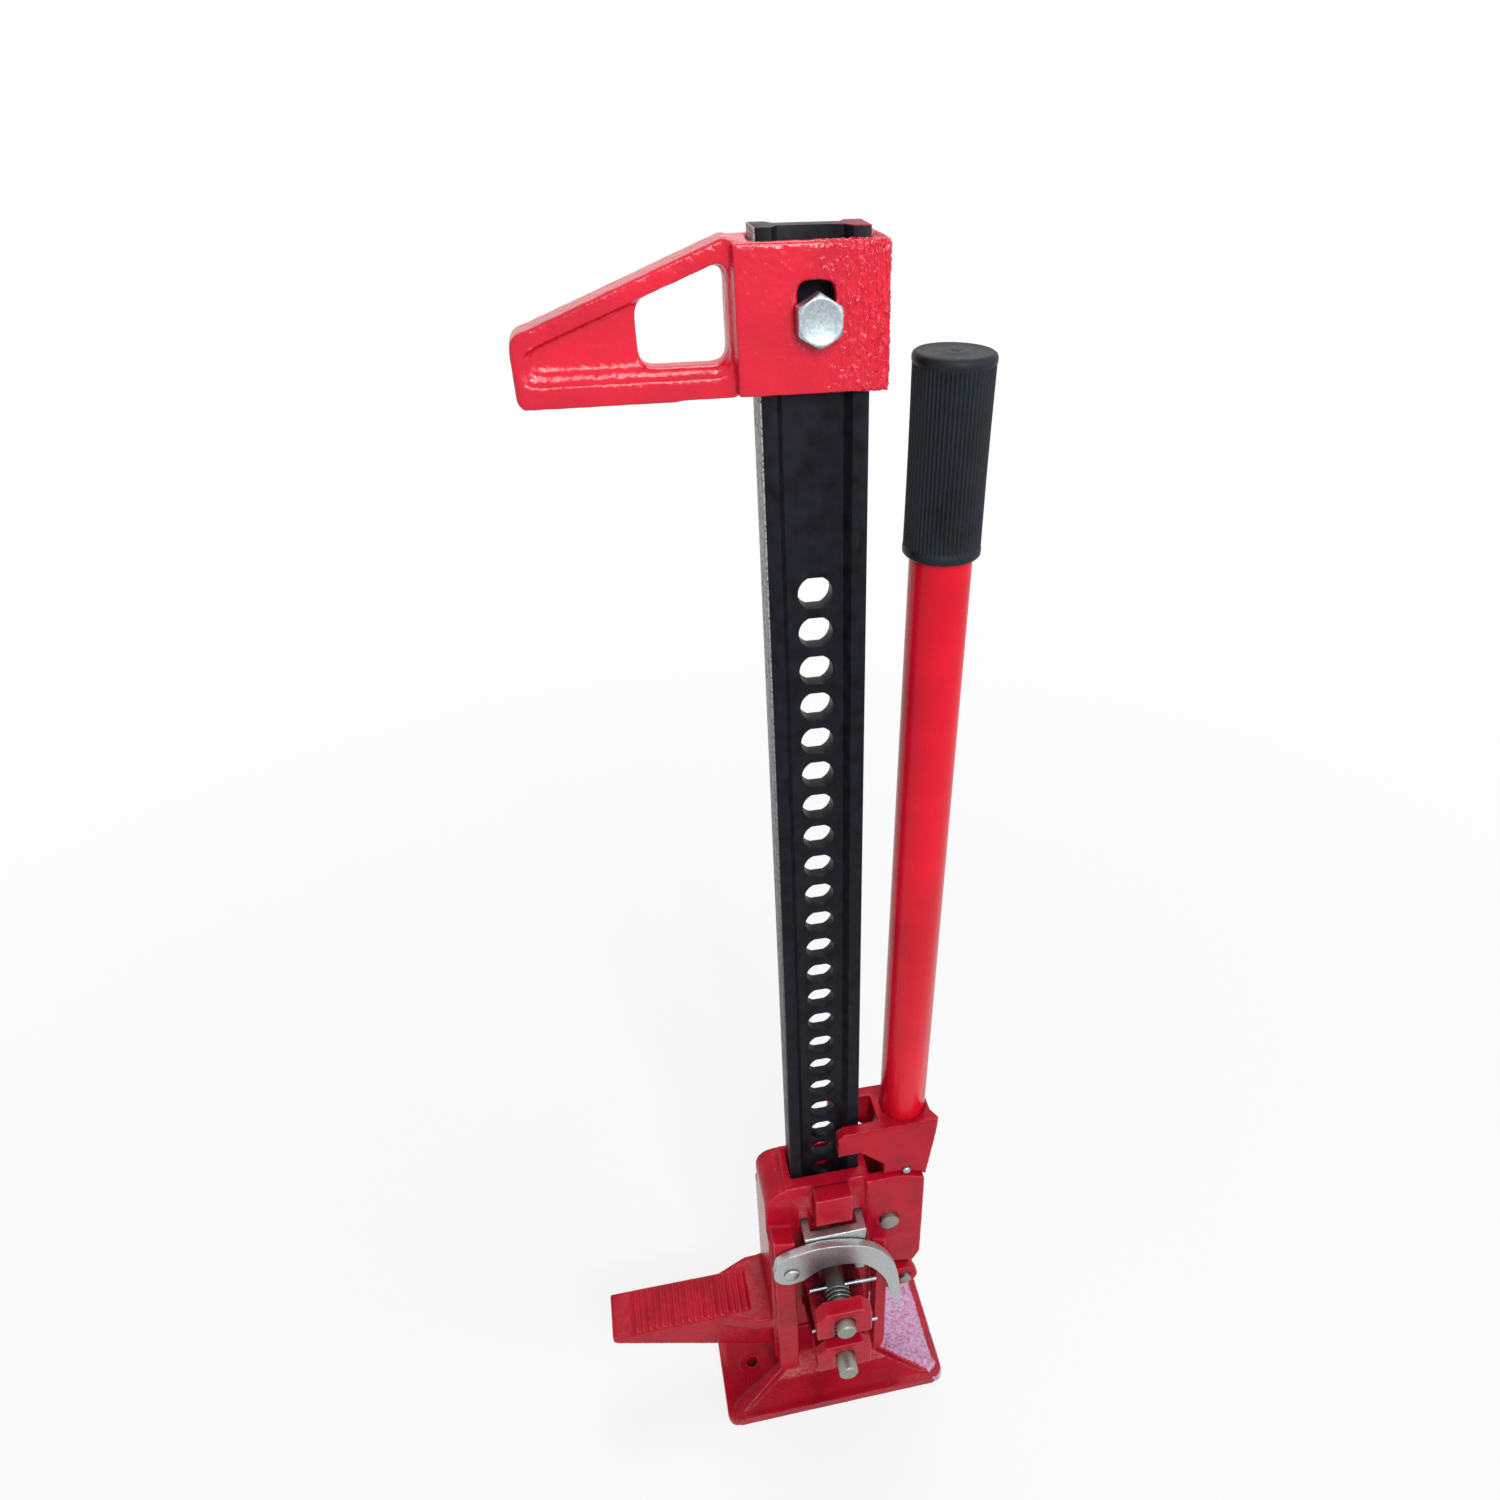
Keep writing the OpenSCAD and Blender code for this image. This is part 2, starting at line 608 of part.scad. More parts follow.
module small_runner() {
    w = small_w / 2;
    corner_r = 4;                           // rounding of the runner's corners
    lug_wall = 2;                           // the arm's eye is this much thicker than the link's
    fork_gap = 2;                           // space round the link in the arm's fork
    arm_top_z = link_z + arm_h / 2;
    fork_x = link_x - link_eye_r - link_bulge - fork_gap;
    eye_r = link_eye_r + lug_wall;
    color(red) difference() {
        union() {
            plate(round_rect(-w, small_bottom, w, small_top, corner_r), -small_front, small_front);
            yoke(low_z, low_yoke_t, small_front - over);
            plate(concat([[0, link_z - arm_h / 2], [link_x, link_z - eye_r]],
                arc(link_x, link_z, eye_r, -90, 90, 12), [[0, arm_top_z]]), -cheek_out, cheek_out);
        }
        box(-slot_w / 2, -slot_t / 2, small_bottom - over, slot_w / 2, slot_t / 2, small_top + over);
        box(fork_x, -cheek_in, link_z - arm_h, link_x + 2 * arm_h, cheek_in, link_z + arm_h);
        rod_y(pin_d + 2 * pin_gap, 0, low_z, -small_t, 0);
        rod_y(link_pin_d + 2 * pin_gap, link_x, link_z, -small_t, small_t);
    }
}

// A headless pin through two ears, with its split pin behind

eye_share = 1.5;                            // rise of the split pin's eye, in wires
eye_wire_share = 0.9;                       // wire of the eye, in wires

module ear_pin(d, x, z, out) {
    difference() {
        rod_y(d, x, z, -out - pin_head_t, out + split_back + split_d);
        translate([x, out + split_back - split_d / 2, z - d]) cylinder(d = split_d + 2 * pin_gap,
            h = 2 * d, $fn = round_n);
    }
}

module split_pin(d, x, z, out) {
    y = out + split_back - split_d / 2;
    translate([x, y, z - d / 2 - split_d]) cylinder(d = split_d, h = d + 2 * split_d, $fn = round_n);
    translate([x, y, z + d / 2 + split_d * eye_share]) rotate([90, 0, 0])
        rotate_extrude($fn = round_n) translate([split_d, 0]) circle(d = split_d * eye_wire_share, $fn = 24);
}

module link_lower_pin() {
    color(pin_steel) ear_pin(link_pin_d, link_x, link_z, cheek_out);
}

module link_lower_split_pin() {
    color(zinc) split_pin(link_pin_d, link_x, link_z, cheek_out);
}

module pivot_pin() {
    color(pin_steel) ear_pin(pivot_d, pivot_x, pivot_z, ear_out);
}

module pivot_split_pin() {
    color(zinc) split_pin(pivot_d, pivot_x, pivot_z, ear_out);
}

// Climbing pins, their cross rods and springs

module climbing_pin(z, out, rod_y0) {
    tip = 5;                                // length of the bevelled tip
    flat = 4.2;                             // how far the bevel cuts into the pin
    chamfer = 1;                            // chamfer of the outer end
    difference() {
        union() {
            rod_y(pin_d, 0, z, chamfer - out, pin_len - out);
            translate([0, chamfer - out, z]) rotate([90, 0, 0])
                cylinder(d1 = pin_d, d2 = pin_d - 2 * chamfer, h = chamfer, $fn = round_n);
        }
        translate([0, rod_y0, z]) rotate([0, 90, 0])
            cylinder(d = rod_d, h = 2 * pin_d, center = true, $fn = round_n);
        translate([-pin_d, pin_len - out - tip, z + pin_d / 2]) rotate([-atan(flat / tip), 0, 0])
            cube([2 * pin_d, 2 * tip, pin_d]);
    }
}

module cross_rod(z, y) {
    translate([-rod_left, y, z]) rotate([0, 90, 0])
        cylinder(d = rod_d, h = rod_left + rod_right, $fn = round_n);
}

// Spring along Y from the cross rod's side to the yoke, one unbroken tube with straight ends
spring_sides = 6;
spring_rings = 8;                           // rings in a curl
function spring_path(y0, y1) =
    let (r = (spring_d - wire_d) / 2, n = spring_n * spring_rings,
        a = y0 + wire_d, b = y1 - wire_d)
    concat([[r, y0, 0]],
        [for (i = [0 : n]) [r * cos(360 * i / spring_rings), a + (b - a) * i / n,
            r * sin(360 * i / spring_rings)]],
        [[r * cos(360 * spring_n), y1, r * sin(360 * spring_n)]]);
function ring_dir(p, i) = i == 0 || i == len(p) - 1 ? [0, 1, 0]
    : unit(unit(p[i + 1] - p[i]) + unit(p[i] - p[i - 1]));
function spring_points(p) = [for (i = [0 : len(p) - 1]) let (
        d = ring_dir(p, i), out = unit([p[i][0], 0, p[i][2]]),
        side = unit(cross(d, out)), up = cross(side, d))
    for (k = [0 : spring_sides - 1]) p[i]
        + wire_d / 2 * (cos(360 * k / spring_sides) * up + sin(360 * k / spring_sides) * side)];
function spring_faces(n) = concat(
    [for (k = [1 : spring_sides - 2]) [0, k + 1, k]],
    [for (i = [0 : n - 2], k = [0 : spring_sides - 1]) let (
        a = i * spring_sides + k, b = i * spring_sides + (k + 1) % spring_sides,
        c = b + spring_sides, d = a + spring_sides) each [[a, b, c], [a, c, d]]],
    [for (k = [1 : spring_sides - 2]) let (e = (n - 1) * spring_sides) [e, e + k, e + k + 1]]);
// Least gap between two stretches of the tube that lie more than half a curl apart
function spring_gap(p) = min([for (i = [0 : len(p) - 1], j = [i : len(p) - 1])
    if (j - i > spring_rings / 2) norm(p[i] - p[j])]) - wire_d;

module spring(z, y0, y1) {
    path = spring_path(y0, y1);
    echo(least_gap_in_spring = spring_gap(path));
    translate([0, 0, z]) polyhedron(points = spring_points(path), faces = spring_faces(len(path)));
}

spring_seat = 0.05;                         // play of a spring between its two seats

module upper_climbing_pin() {
    color(pin_steel) climbing_pin(up_z, up_pin_out, rod_y_up);
}

module upper_cross_rod() {
    color(zinc) cross_rod(up_z, rod_y_up);
}

module upper_pin_spring() {
    color(pin_steel) spring(up_z, -yoke_front + up_yoke_t + spring_seat, rod_y_up - rod_d / 2 - spring_seat);
}

module lower_climbing_pin() {
    color(pin_steel) climbing_pin(low_z, low_pin_out, rod_y_low);
}

module lower_cross_rod() {
    color(zinc) cross_rod(low_z, rod_y_low);
}

module lower_pin_spring() {
    color(pin_steel) spring(low_z, -yoke_front + low_yoke_t + spring_seat,
        rod_y_low - rod_d / 2 - spring_seat);
}

// The large runner

runner_top = up_z + top_rise;
wall_bottom = up_z - wall_drop;
leg_bottom = up_z - leg_drop;
nose_z = up_z - nose_drop;
collar_h = 11;                              // the collar round the bar stands over the block
collar_back = 13.5;                         // and reaches this far behind the bar's axis
collar_fall_share = 0.75;                   // of its height that it falls by the bar's front
block_bevel = 4;                            // bevel along the block's top front edge
collar_z = runner_top - collar_h;
shoulder_r = 14;                            // rounding of the block above the nose
leg_out = 11;                               // the right leg stands out past the block
leg_shy = 2;                                // and starts this far outside it, clear of the cross rods
leg_in = 2.5;                               // the left leg stays in from the side wall
leg_right = body_right + leg_out;
leg_left = body_left - leg_in;
leg_r = 4;                                  // rounding at the legs' feet
pad_h = 4;                                  // slope at the top of the left leg
pad_rise = 48.5;                            // the left leg ends this far over the upper climbing pin
pad_z = up_z + pad_rise;
foot_rise = 12;                             // the right leg's bevelled foot
boss_w = 27;                                // raised boss over the stirrup
boss_h = 28;                                // its height
boss_x = 2;                                 // how far it stands to the handle's side
boss_gap = 7;                               // its gap over the stirrup
boss_out = 12;                              // how far it stands out of the wall
boss_slope = 1;                             // rise of its sloping top
side_gap_x = 1;                             // the side wall stays clear of the small runner
side_in = small_w / 2 + side_gap_x;
side_setback = 6;                           // the side wall's front edge stays this far behind the legs'
side_front = leg_front - side_setback;
nose_corner = 3;                            // bevel under the nose's tip
flare_w = 14;                               // widest stretch of the nose's flare
flare_share = 0.3;                          // of the nose's free length
flare_in = 1;                               // the flare narrows by this much
flare_h_share = 1.5;                        // depth of the flare, in heights of the tip
rib_start = 17;                             // first rib's distance from the nose's tip
rib_in = 1.5;                               // the ribs stop short of the nose's sides
rib_shares = [0.25, 0.6, 0.85];             // crest and foot of a rib, of its spacing
ear_lap = 3;                                // the ears start this far outside the bar
ear_cut_x = body_right - ear_lap;           // the bevel over the block's front ends here
ear_drop = 59;                              // reach of the ears below the pivot
ear_cut = 5;                                // bevel of the ears' lower corner
stirrup_half = stirrup_w / 2;
stirrup_arm_w = 6;                          // width of the stirrup's arms
pocket_rise = 3;                            // room over an arm in its pocket

module nose() {
    z = nose_z;
    root = over - body_left;
    rib0 = rib_start - nose_reach;
    flare_x = body_left + (nose_reach - body_left) * flare_share;
    flare_h = nose_tip_h * flare_h_share;
    plate([[root, z], [root, z - nose_root_h], [nose_corner - nose_reach, z - nose_tip_h],
        [-nose_reach, z - nose_tip_h + nose_corner], [-nose_reach, z]], -nose_w / 2, nose_w / 2);
    translate([0, 0, z - flare_h]) linear_extrude(flare_h) polygon([
        [root, -nose_root_w / 2], [root, nose_root_w / 2],
        [-body_left - flare_w, nose_root_w / 2 - flare_in], [-flare_x, nose_w / 2],
        [-flare_x, -nose_w / 2], [-body_left - flare_w, flare_in - nose_root_w / 2]]);
    plate(concat([[rib0, z - over]],
        [for (i = [0 : rib_n - 1]) each [[rib0 + i * rib_pitch, z],
            [rib0 + (i + rib_shares[0]) * rib_pitch, z + rib_h],
            [rib0 + (i + rib_shares[1]) * rib_pitch, z + rib_h],
            [rib0 + (i + rib_shares[2]) * rib_pitch, z]]],
        [[rib0 + rib_n * rib_pitch, z - over]]), rib_in - nose_w / 2, nose_w / 2 - rib_in);
}

// One ear beside the handle socket, its top following the socket's floor
module ear() {
    low = pivot_z - ear_drop;
    left = slot_w / 2 + ear_lap;
    a0 = 96;                                // the top's curve starts at this angle
    a1 = acos((ear_reach - pivot_x) / ear_r);
    plate(concat([[left, wall_bottom], [left, pivot_z + ear_r * sin(a0)]],
        arc(pivot_x, pivot_z, ear_r, a0, a1, 8),
        [[ear_reach, pivot_z], [ear_reach, low + 2 * ear_cut], [ear_reach - ear_cut, low],
        [pivot_x, low + ear_cut]]), -ear_out, -ear_in);
}

module large_runner() {
    color(red) difference() {
        union() {
            // Block round the bar, and its collar
            plate(concat([[-body_left, wall_bottom], [body_right, wall_bottom], [body_right, collar_z]],
                arc(shoulder_r - body_left, collar_z - shoulder_r, shoulder_r, 90, 180, 8)), -front, front);
            plate_x([[-front, collar_z - over], [collar_back, collar_z - over], [collar_back, runner_top],
                [-slot_t / 2, runner_top - collar_h * collar_fall_share], [-front, collar_z]],
                -body_right, body_right);
            // Side wall that carries the nose
            plate([[-body_left, leg_bottom + foot_rise], [-side_in, leg_bottom + foot_rise],
                [-side_in, pad_z], [-body_left, pad_z]], -side_front, nose_root_w / 2);
            // Left leg, which carries the lever's rivet
            plate(concat([[leg_w - leg_left, pad_z - pad_h], [leg_w - leg_left, pad_z],
                [-leg_left, pad_z + pad_h]],
                arc(leg_r - leg_left, leg_bottom + leg_r, leg_r, 180, 270, 4),
                arc(leg_w - leg_left - leg_r, leg_bottom + leg_r, leg_r, 270, 360, 4)),
                -leg_front, over - front);
            // Right leg
            plate([[body_right + leg_shy, up_z + foot_rise + leg_r], [leg_right, up_z + foot_rise],
                [leg_right, leg_bottom + foot_rise + leg_r], [leg_right - leg_r, leg_bottom + leg_r],
                [body_right + leg_shy, leg_bottom + leg_r]], -leg_front, over - front);
            // Raised boss over the stirrup
            plate_x([[over - front, stirrup_z + boss_gap], [-front - boss_out, stirrup_z + boss_gap],
                [-front - boss_out, stirrup_z + boss_gap + boss_h],
                [over - front, stirrup_z + boss_gap + boss_h + boss_slope]],
                boss_x - boss_w / 2, boss_x + boss_w / 2);
            for (s = [0, 1]) mirror([0, s, 0]) ear();
            nose();
            yoke(up_z, up_yoke_t, front - over);
        }
        // Bevel along the block's top front edge, on both sides of the boss
        for (x = [[-body_left - over, boss_x - boss_w / 2], [boss_x + boss_w / 2, ear_cut_x]])
            plate_x([[-front - over, collar_z + over], [-front - over, collar_z - block_bevel],
                [-front, collar_z - block_bevel], [block_bevel - front, collar_z + over]], x[0], x[1]);
        box(-slot_w / 2, -slot_t / 2, leg_bottom, slot_w / 2, slot_t / 2, runner_top + over);
        rod_y(pin_d + 2 * pin_gap, 0, up_z, -body_t, 0);
        rod_y(pivot_d + 2 * pin_gap, pivot_x, pivot_z, -body_t, body_t);
        rod_y(lever_pin_d, -lever_x, lever_z, -leg_front - over, rivet_in - leg_front);
        for (x = [stirrup_x - stirrup_half, stirrup_x + stirrup_half - stirrup_arm_w])
            box(x - pin_gap, -front - over, stirrup_z - stirrup_t - pin_gap,
                x + stirrup_arm_w + pin_gap, stirrup_arm_in - front, stirrup_z + pocket_rise);
    }
}

rivet_in = 12;                              // the lever's rivet reaches this far into the leg
rivet_head_t = 2.5;                         // height of its head
rivet_head_share = 1.4;                     // width of its head, in rivets

module lever_rivet() {
    y = lever_back + lever_t + side_gap;
    color(zinc) union() {
        rod_y(lever_pin_d, -lever_x, lever_z, -y, rivet_in - leg_front);
        translate([-lever_x, -y, lever_z]) rotate([90, 0, 0])
            cylinder(d1 = lever_pin_d * rivet_head_share, d2 = lever_pin_d, h = rivet_head_t, $fn = round_n);
    }
}

// Stirrup: a level U plate whose arms sit in pockets, with a front apron and a finger at its right
module stirrup() {
    web_w = 7;                              // depth of the U's web
    apron_t = 4;                            // thickness of the apron
    apron_drop = 16;                        // depth of the apron below the stirrup's top
    apron_in = 3;                           // slope of the apron's left edge
    finger_x = 14;                          // the apron narrows to the finger from here
    finger_w = 7;                           // width of the finger
    finger_side = 1;                        // the finger stays in from the stirrup's right side
    finger_drop = stirrup_rise - rod_d / 2 - rod_room;
    half = stirrup_half;
    finger_right = half - finger_side;
    arm_w = stirrup_arm_w;
    arm_y = stirrup_arm_in - front - pin_gap;
    web_y = web_w - stirrup_front;
    mid = stirrup_z - stirrup_t / 2;
    color(zinc) translate([stirrup_x, 0, 0]) {
        translate([0, 0, stirrup_z - stirrup_t]) linear_extrude(stirrup_t) polygon([
            [-half, -stirrup_front], [half, -stirrup_front], [half, arm_y], [half - arm_w, arm_y],
            [half - arm_w, web_y], [arm_w - half, web_y], [arm_w - half, arm_y], [-half, arm_y]]);
        plate([[-half, mid], [apron_in - half, stirrup_z - apron_drop / 2],
            [half - finger_x, stirrup_z - apron_drop], [finger_right - finger_w, stirrup_z - finger_drop],
            [finger_right, stirrup_z - finger_drop], [finger_right, stirrup_z - apron_drop], [half, mid]],
            -stirrup_front, apron_t - stirrup_front);
    }
}

// The reversing lever, in shares of its reach from its pivot
lever_shares = [[-0.14, 0.16], [-0.06, 0.235], [0.15, 0.28], [0.29, 0.292], [0.45, 0.27], [0.59, 0.228],
    [0.70, 0.175], [0.80, 0.09], [0.89, -0.045], [0.955, -0.20], [0.99, -0.37], [1.005, -0.52],
    [1.02, -0.70], [1.0, -0.775], [0.965, -0.775], [0.93, -0.69], [0.90, -0.55], [0.88, -0.425],
    [0.83, -0.30], [0.745, -0.16], [0.655, -0.07], [0.55, -0.025], [0.44, -0.005], [0.34, 0],
    [0.25, -0.02], [0.16, -0.10], [0.09, -0.15], [-0.03, -0.15], [-0.15, -0.05]];

module reversing_lever() {
    color(zinc) difference() {
        union() {
            plate(soften(scaled(lever_shares, lever_reach, lever_reach, -lever_x, lever_z), 1),
                -lever_back - lever_t, -lever_back);
            rod_y(2 * lever_head_r, -lever_x, lever_z, -lever_back - lever_t, -lever_back);
        }
        rod_y(lever_pin_d + 2 * pin_gap, -lever_x, lever_z, -lever_back - lever_t - over, -lever_back + over);
    }
}

// The handle

// Places its children on the handle's leaning axis, at the tube's lower end
module on_handle() {
    translate([tube_x, 0, tube_z]) rotate([0, lean, 0]) children();
}

stop_d = 6;                                 // pin across the socket, under the tube's end
stop_gap = 0.1;                             // play between the two
stop_out = 2.5;                             // how far it stands out of the socket, front and back

module stop_rod(h) {
    on_handle() translate([0, 0, -stop_gap - stop_d / 2]) rotate([90, 0, 0])
        cylinder(d = stop_d, h = h, center = true, $fn = round_n);
}

// Socket seen from above: its right side is waisted round the tube
module socket_plan() {
    w = socket_w / 2;
    t = socket_t / 2;
    front_r = 3;                            // rounding of its corners on the far side from the bar
    waist = 4;                              // depth of the waist
    waist_t = 20;                           // and its length
    polygon(concat(arc(w - front_r, front_r - t, front_r, -90, 0, 4),
        [[w - waist, -waist_t / 2], [w - waist, waist_t / 2]],
        arc(w - front_r, t - front_r, front_r, 0, 90, 4),
        arc(socket_wall_r - w, t - socket_wall_r, socket_wall_r, 90, 180),
        arc(socket_wall_r - w, socket_wall_r - t, socket_wall_r, 180, 270)));
}

module handle_socket() {
    half_w = socket_w / 2;
    cheek_r = 14;                           // radius of the cheeks round the pivot
    taper_w = 8.5;                          // how much the foot's right side comes in
    rim_h = 3;                              // height of the rim's upright edge
    foot_drop = 18;                         // the foot reaches this far below the floor's crown
    foot_in = 3.5;                          // the foot's left side stays in from the socket's
    foot_step = 39;                         // depth below the rim where it does
    finger_x = 8;                           // the fingers' tips, from the bar's axis
    finger_in = 2;                          // gap between the fingers and the bar
    finger_h = 23;                          // height of the fingers' tips
    finger_cut = 4.5;                       // bevel of their tips
    finger_foot = 1;                        // small bevel under their tips
    finger_w = 16;                          // length of their level stretch
    eye_room = 1;                           // room over the link's eye
    slot_room = 2;                          // room beside the link's eye
    cheek_more = 1;                         // the cheeks are this much larger than the link's eye
    left = socket_x - half_w;
    right = socket_x + half_w;
    foot_left = left + foot_in;
    low = socket_floor_z - foot_drop;
    step_z = socket_rim_z - foot_step;
    eye_z = crank_z + link_eye_r + eye_room;
    color(red) difference() {
        union() {
            difference() {
                intersection() {
                    translate([socket_x, 0, low]) linear_extrude(socket_rim_z - low) socket_plan();
                    plate([[foot_left, low], [right - taper_w, low], [right, socket_rim_z - rim_h],
                        [right, socket_rim_z], [left, socket_rim_z], [left, step_z + foot_in],
                        [foot_left, step_z]], -socket_t, socket_t);
                }
                for (s = [0, 1]) mirror([0, s, 0])
                    rod_y(2 * socket_floor_rise, pivot_x, pivot_z, -socket_t, -cheek_out);
            }
            // Cheeks between the ears
            plate(concat(arc(pivot_x, pivot_z, cheek_r, 130, 290, 16),
                arc(crank_x, crank_z, link_eye_r + cheek_more, -70, 20, 10),
                [[right - taper_w, low + over], [foot_left, low + over]]), -cheek_out, cheek_out);
            // Fingers that reach round the bar, front and back
            for (s = [0, 1]) mirror([0, s, 0])
                plate([[finger_x, socket_rim_z - finger_cut], [finger_x, socket_rim_z - finger_h],
                    [finger_x + finger_cut, socket_rim_z - finger_h + finger_foot],
                    [finger_x + finger_w, socket_rim_z - finger_h + finger_foot],
                    [foot_left, step_z], [left + 2 * socket_wall_r, step_z],
                    [left + 2 * socket_wall_r, socket_rim_z],
                    [finger_x + finger_cut, socket_rim_z]], -socket_t / 2, -bar_t / 2 - finger_in);
        }
        on_handle() cylinder(d = tube_d, h = tube_len, $fn = round_n);
        box(crank_x - link_eye_r - slot_room, -cheek_in, pivot_z - 2 * cheek_r, crank_x + 2 * socket_w,
            cheek_in, eye_z);
        rod_y(pivot_d + 2 * pin_gap, pivot_x, pivot_z, -socket_t, socket_t);
        rod_y(link_pin_d, crank_x, crank_z, -socket_t, socket_t);
        stop_rod(2 * socket_t);
    }
}

module handle_tube() {
    color(red) difference() {
        on_handle() cylinder(d = tube_d, h = tube_len, $fn = round_n);
        on_handle() translate([0, 0, -over])
            cylinder(d = tube_d - 2 * tube_wall, h = tube_len + 2 * over, $fn = round_n);
    }
}

module socket_pin() {
    color(zinc) stop_rod(socket_t + 2 * stop_out);
}

grip_rib_shares = [0.5, 0.6, 0.9];          // end of a rib and the groove's floor, of their spacing
grip_crest = 0.3;                           // the ribs stay under the end bands

module grip_ribs() {
    r = grip_d / 2 - grip_crest;
    low = r - grip_rib_h;
    a = 360 / grip_rib_n;
    polygon([for (i = [0 : grip_rib_n - 1]) each [[r * cos(i * a), r * sin(i * a)],
        [r * cos((i + grip_rib_shares[0]) * a), r * sin((i + grip_rib_shares[0]) * a)],
        [low * cos((i + grip_rib_shares[1]) * a), low * sin((i + grip_rib_shares[1]) * a)],
        [low * cos((i + grip_rib_shares[2]) * a), low * sin((i + grip_rib_shares[2]) * a)]]]);
}

module hand_grip() {
    band = 5;                               // height of the plain bands at both ends
    bevel = 2;                              // bevel round the closed end
    color(rubber) on_handle() translate([0, 0, grip_z]) difference() {
        union() {
            cylinder(d = grip_d, h = band, $fn = round_n);
            translate([0, 0, band - over]) linear_extrude(grip_len - 2 * band + 2 * over) grip_ribs();
            translate([0, 0, grip_len - band]) cylinder(d = grip_d, h = band - bevel, $fn = round_n);
            translate([0, 0, grip_len - bevel])
                cylinder(d1 = grip_d, d2 = grip_d - 2 * bevel, h = bevel, $fn = round_n);
        }
        translate([0, 0, -over]) cylinder(d = tube_d, h = grip_len - grip_cap + over, $fn = round_n);
    }
}

// The link between the socket and the small runner

module link_upper_pin() {
    color(pin_steel) rod_y(link_pin_d, crank_x, crank_z, -cheek_out, cheek_out);
}

module link() {
    slot_r = link_pin_d / 2 + open_gap;
    slot_eye_more = 1;                      // the slotted eye is this much larger
    foot_r = link_eye_r + slot_eye_more;
    dir = [link_x - crank_x, link_z - crank_z];
    side = [dir[1], -dir[0]] / norm(dir) * link_w / 2;
    low = [link_x, link_z];
    high = [crank_x, crank_z];
    color(red) difference() {
        union() {
            rod_y(2 * link_eye_r, crank_x, crank_z, -link_t / 2, link_t / 2);
            plate(concat(arc(link_x - link_bulge, link_z, foot_r, 90, 270, 16),
                arc(link_x, link_z, foot_r, -90, 90, 16)), -link_t / 2, link_t / 2);
            plate([low - side, low + side, high + side, high - side], -link_t / 2, link_t / 2);
        }
        rod_y(link_pin_d + 2 * pin_gap, crank_x, crank_z, -link_t, link_t);
        plate(concat(arc(link_x - link_bulge, link_z, slot_r, 90, 270, 16),
            arc(link_x, link_z, slot_r, -90, 90, 16)), -link_t, link_t);
    }
}

bar();
base_plate();
foot_pin();
top_clamp();
clamp_bolt();
clamp_nut();
small_runner();
link_lower_pin();
link_lower_split_pin();
lower_climbing_pin();
lower_cross_rod();
lower_pin_spring();
large_runner();
pivot_pin();
pivot_split_pin();
lever_rivet();
stirrup();
upper_climbing_pin();
upper_cross_rod();
upper_pin_spring();
reversing_lever();
handle_socket();
handle_tube();
hand_grip();
socket_pin();
link_upper_pin();
link();
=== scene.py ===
"""High lift jack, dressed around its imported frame. Metres, +Z up, nose to -X, mechanism's front to -Y."""

import json
import math

import bmesh
import bpy
from mathutils import Matrix, Vector, noise


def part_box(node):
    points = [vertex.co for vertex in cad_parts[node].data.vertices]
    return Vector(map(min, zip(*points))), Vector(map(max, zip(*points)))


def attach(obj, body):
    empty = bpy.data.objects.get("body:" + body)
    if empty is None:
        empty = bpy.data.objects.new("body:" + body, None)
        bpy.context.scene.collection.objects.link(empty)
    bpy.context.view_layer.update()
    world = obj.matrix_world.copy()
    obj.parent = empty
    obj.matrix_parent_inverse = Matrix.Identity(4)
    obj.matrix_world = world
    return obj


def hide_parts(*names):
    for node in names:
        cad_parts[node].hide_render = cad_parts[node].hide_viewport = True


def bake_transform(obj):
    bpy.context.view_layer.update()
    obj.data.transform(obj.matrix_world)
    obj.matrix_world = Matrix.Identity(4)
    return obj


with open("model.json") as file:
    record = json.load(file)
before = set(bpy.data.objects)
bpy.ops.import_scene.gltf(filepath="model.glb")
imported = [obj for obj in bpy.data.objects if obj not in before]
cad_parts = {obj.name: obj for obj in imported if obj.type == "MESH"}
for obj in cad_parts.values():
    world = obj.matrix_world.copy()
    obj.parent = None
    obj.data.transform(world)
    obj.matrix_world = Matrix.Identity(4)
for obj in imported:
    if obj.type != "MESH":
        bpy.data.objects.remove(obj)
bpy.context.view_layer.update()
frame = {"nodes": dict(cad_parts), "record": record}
nodes = frame["nodes"]
MM = 0.001
TAU = 2 * math.pi


# Colours and shader nodes

def srgb(code):
    """A linear colour from an sRGB hex code."""
    parts = [int(code[i:i + 2], 16) / 255 for i in (1, 3, 5)]
    return [p / 12.92 if p <= 0.04045 else ((p + 0.055) / 1.055) ** 2.4 for p in parts] + [1]


def grey(value):
    return (value, value, value, 1)


def per_mm(size_mm):
    """Pattern scale that gives features of this size, for coordinates in metres."""
    return 1 / (size_mm * MM)


def add(tree, kind, settings, links=None):
    """Adds a node. Settings go to its properties, its ramp's two stops or its sockets; links to sockets."""
    node = tree.nodes.new(kind)
    for name, value in settings.items():
        if name == "stops":
            for element, (position, colour) in zip(node.color_ramp.elements, value):
                element.position = position
                element.color = colour
        elif isinstance(name, str) and hasattr(node, name):
            setattr(node, name, value)
        else:
            node.inputs[name].default_value = value
    for name, output in (links or {}).items():
        tree.links.new(output, node.inputs[name])
    return node


def new_material(name):
    """An empty material, its node tree, and its object coordinates in metres."""
    material = bpy.data.materials.new(name)
    material.use_nodes = True
    tree = material.node_tree
    tree.nodes.clear()
    return material, tree, add(tree, "ShaderNodeTexCoord", {}).outputs["Object"]


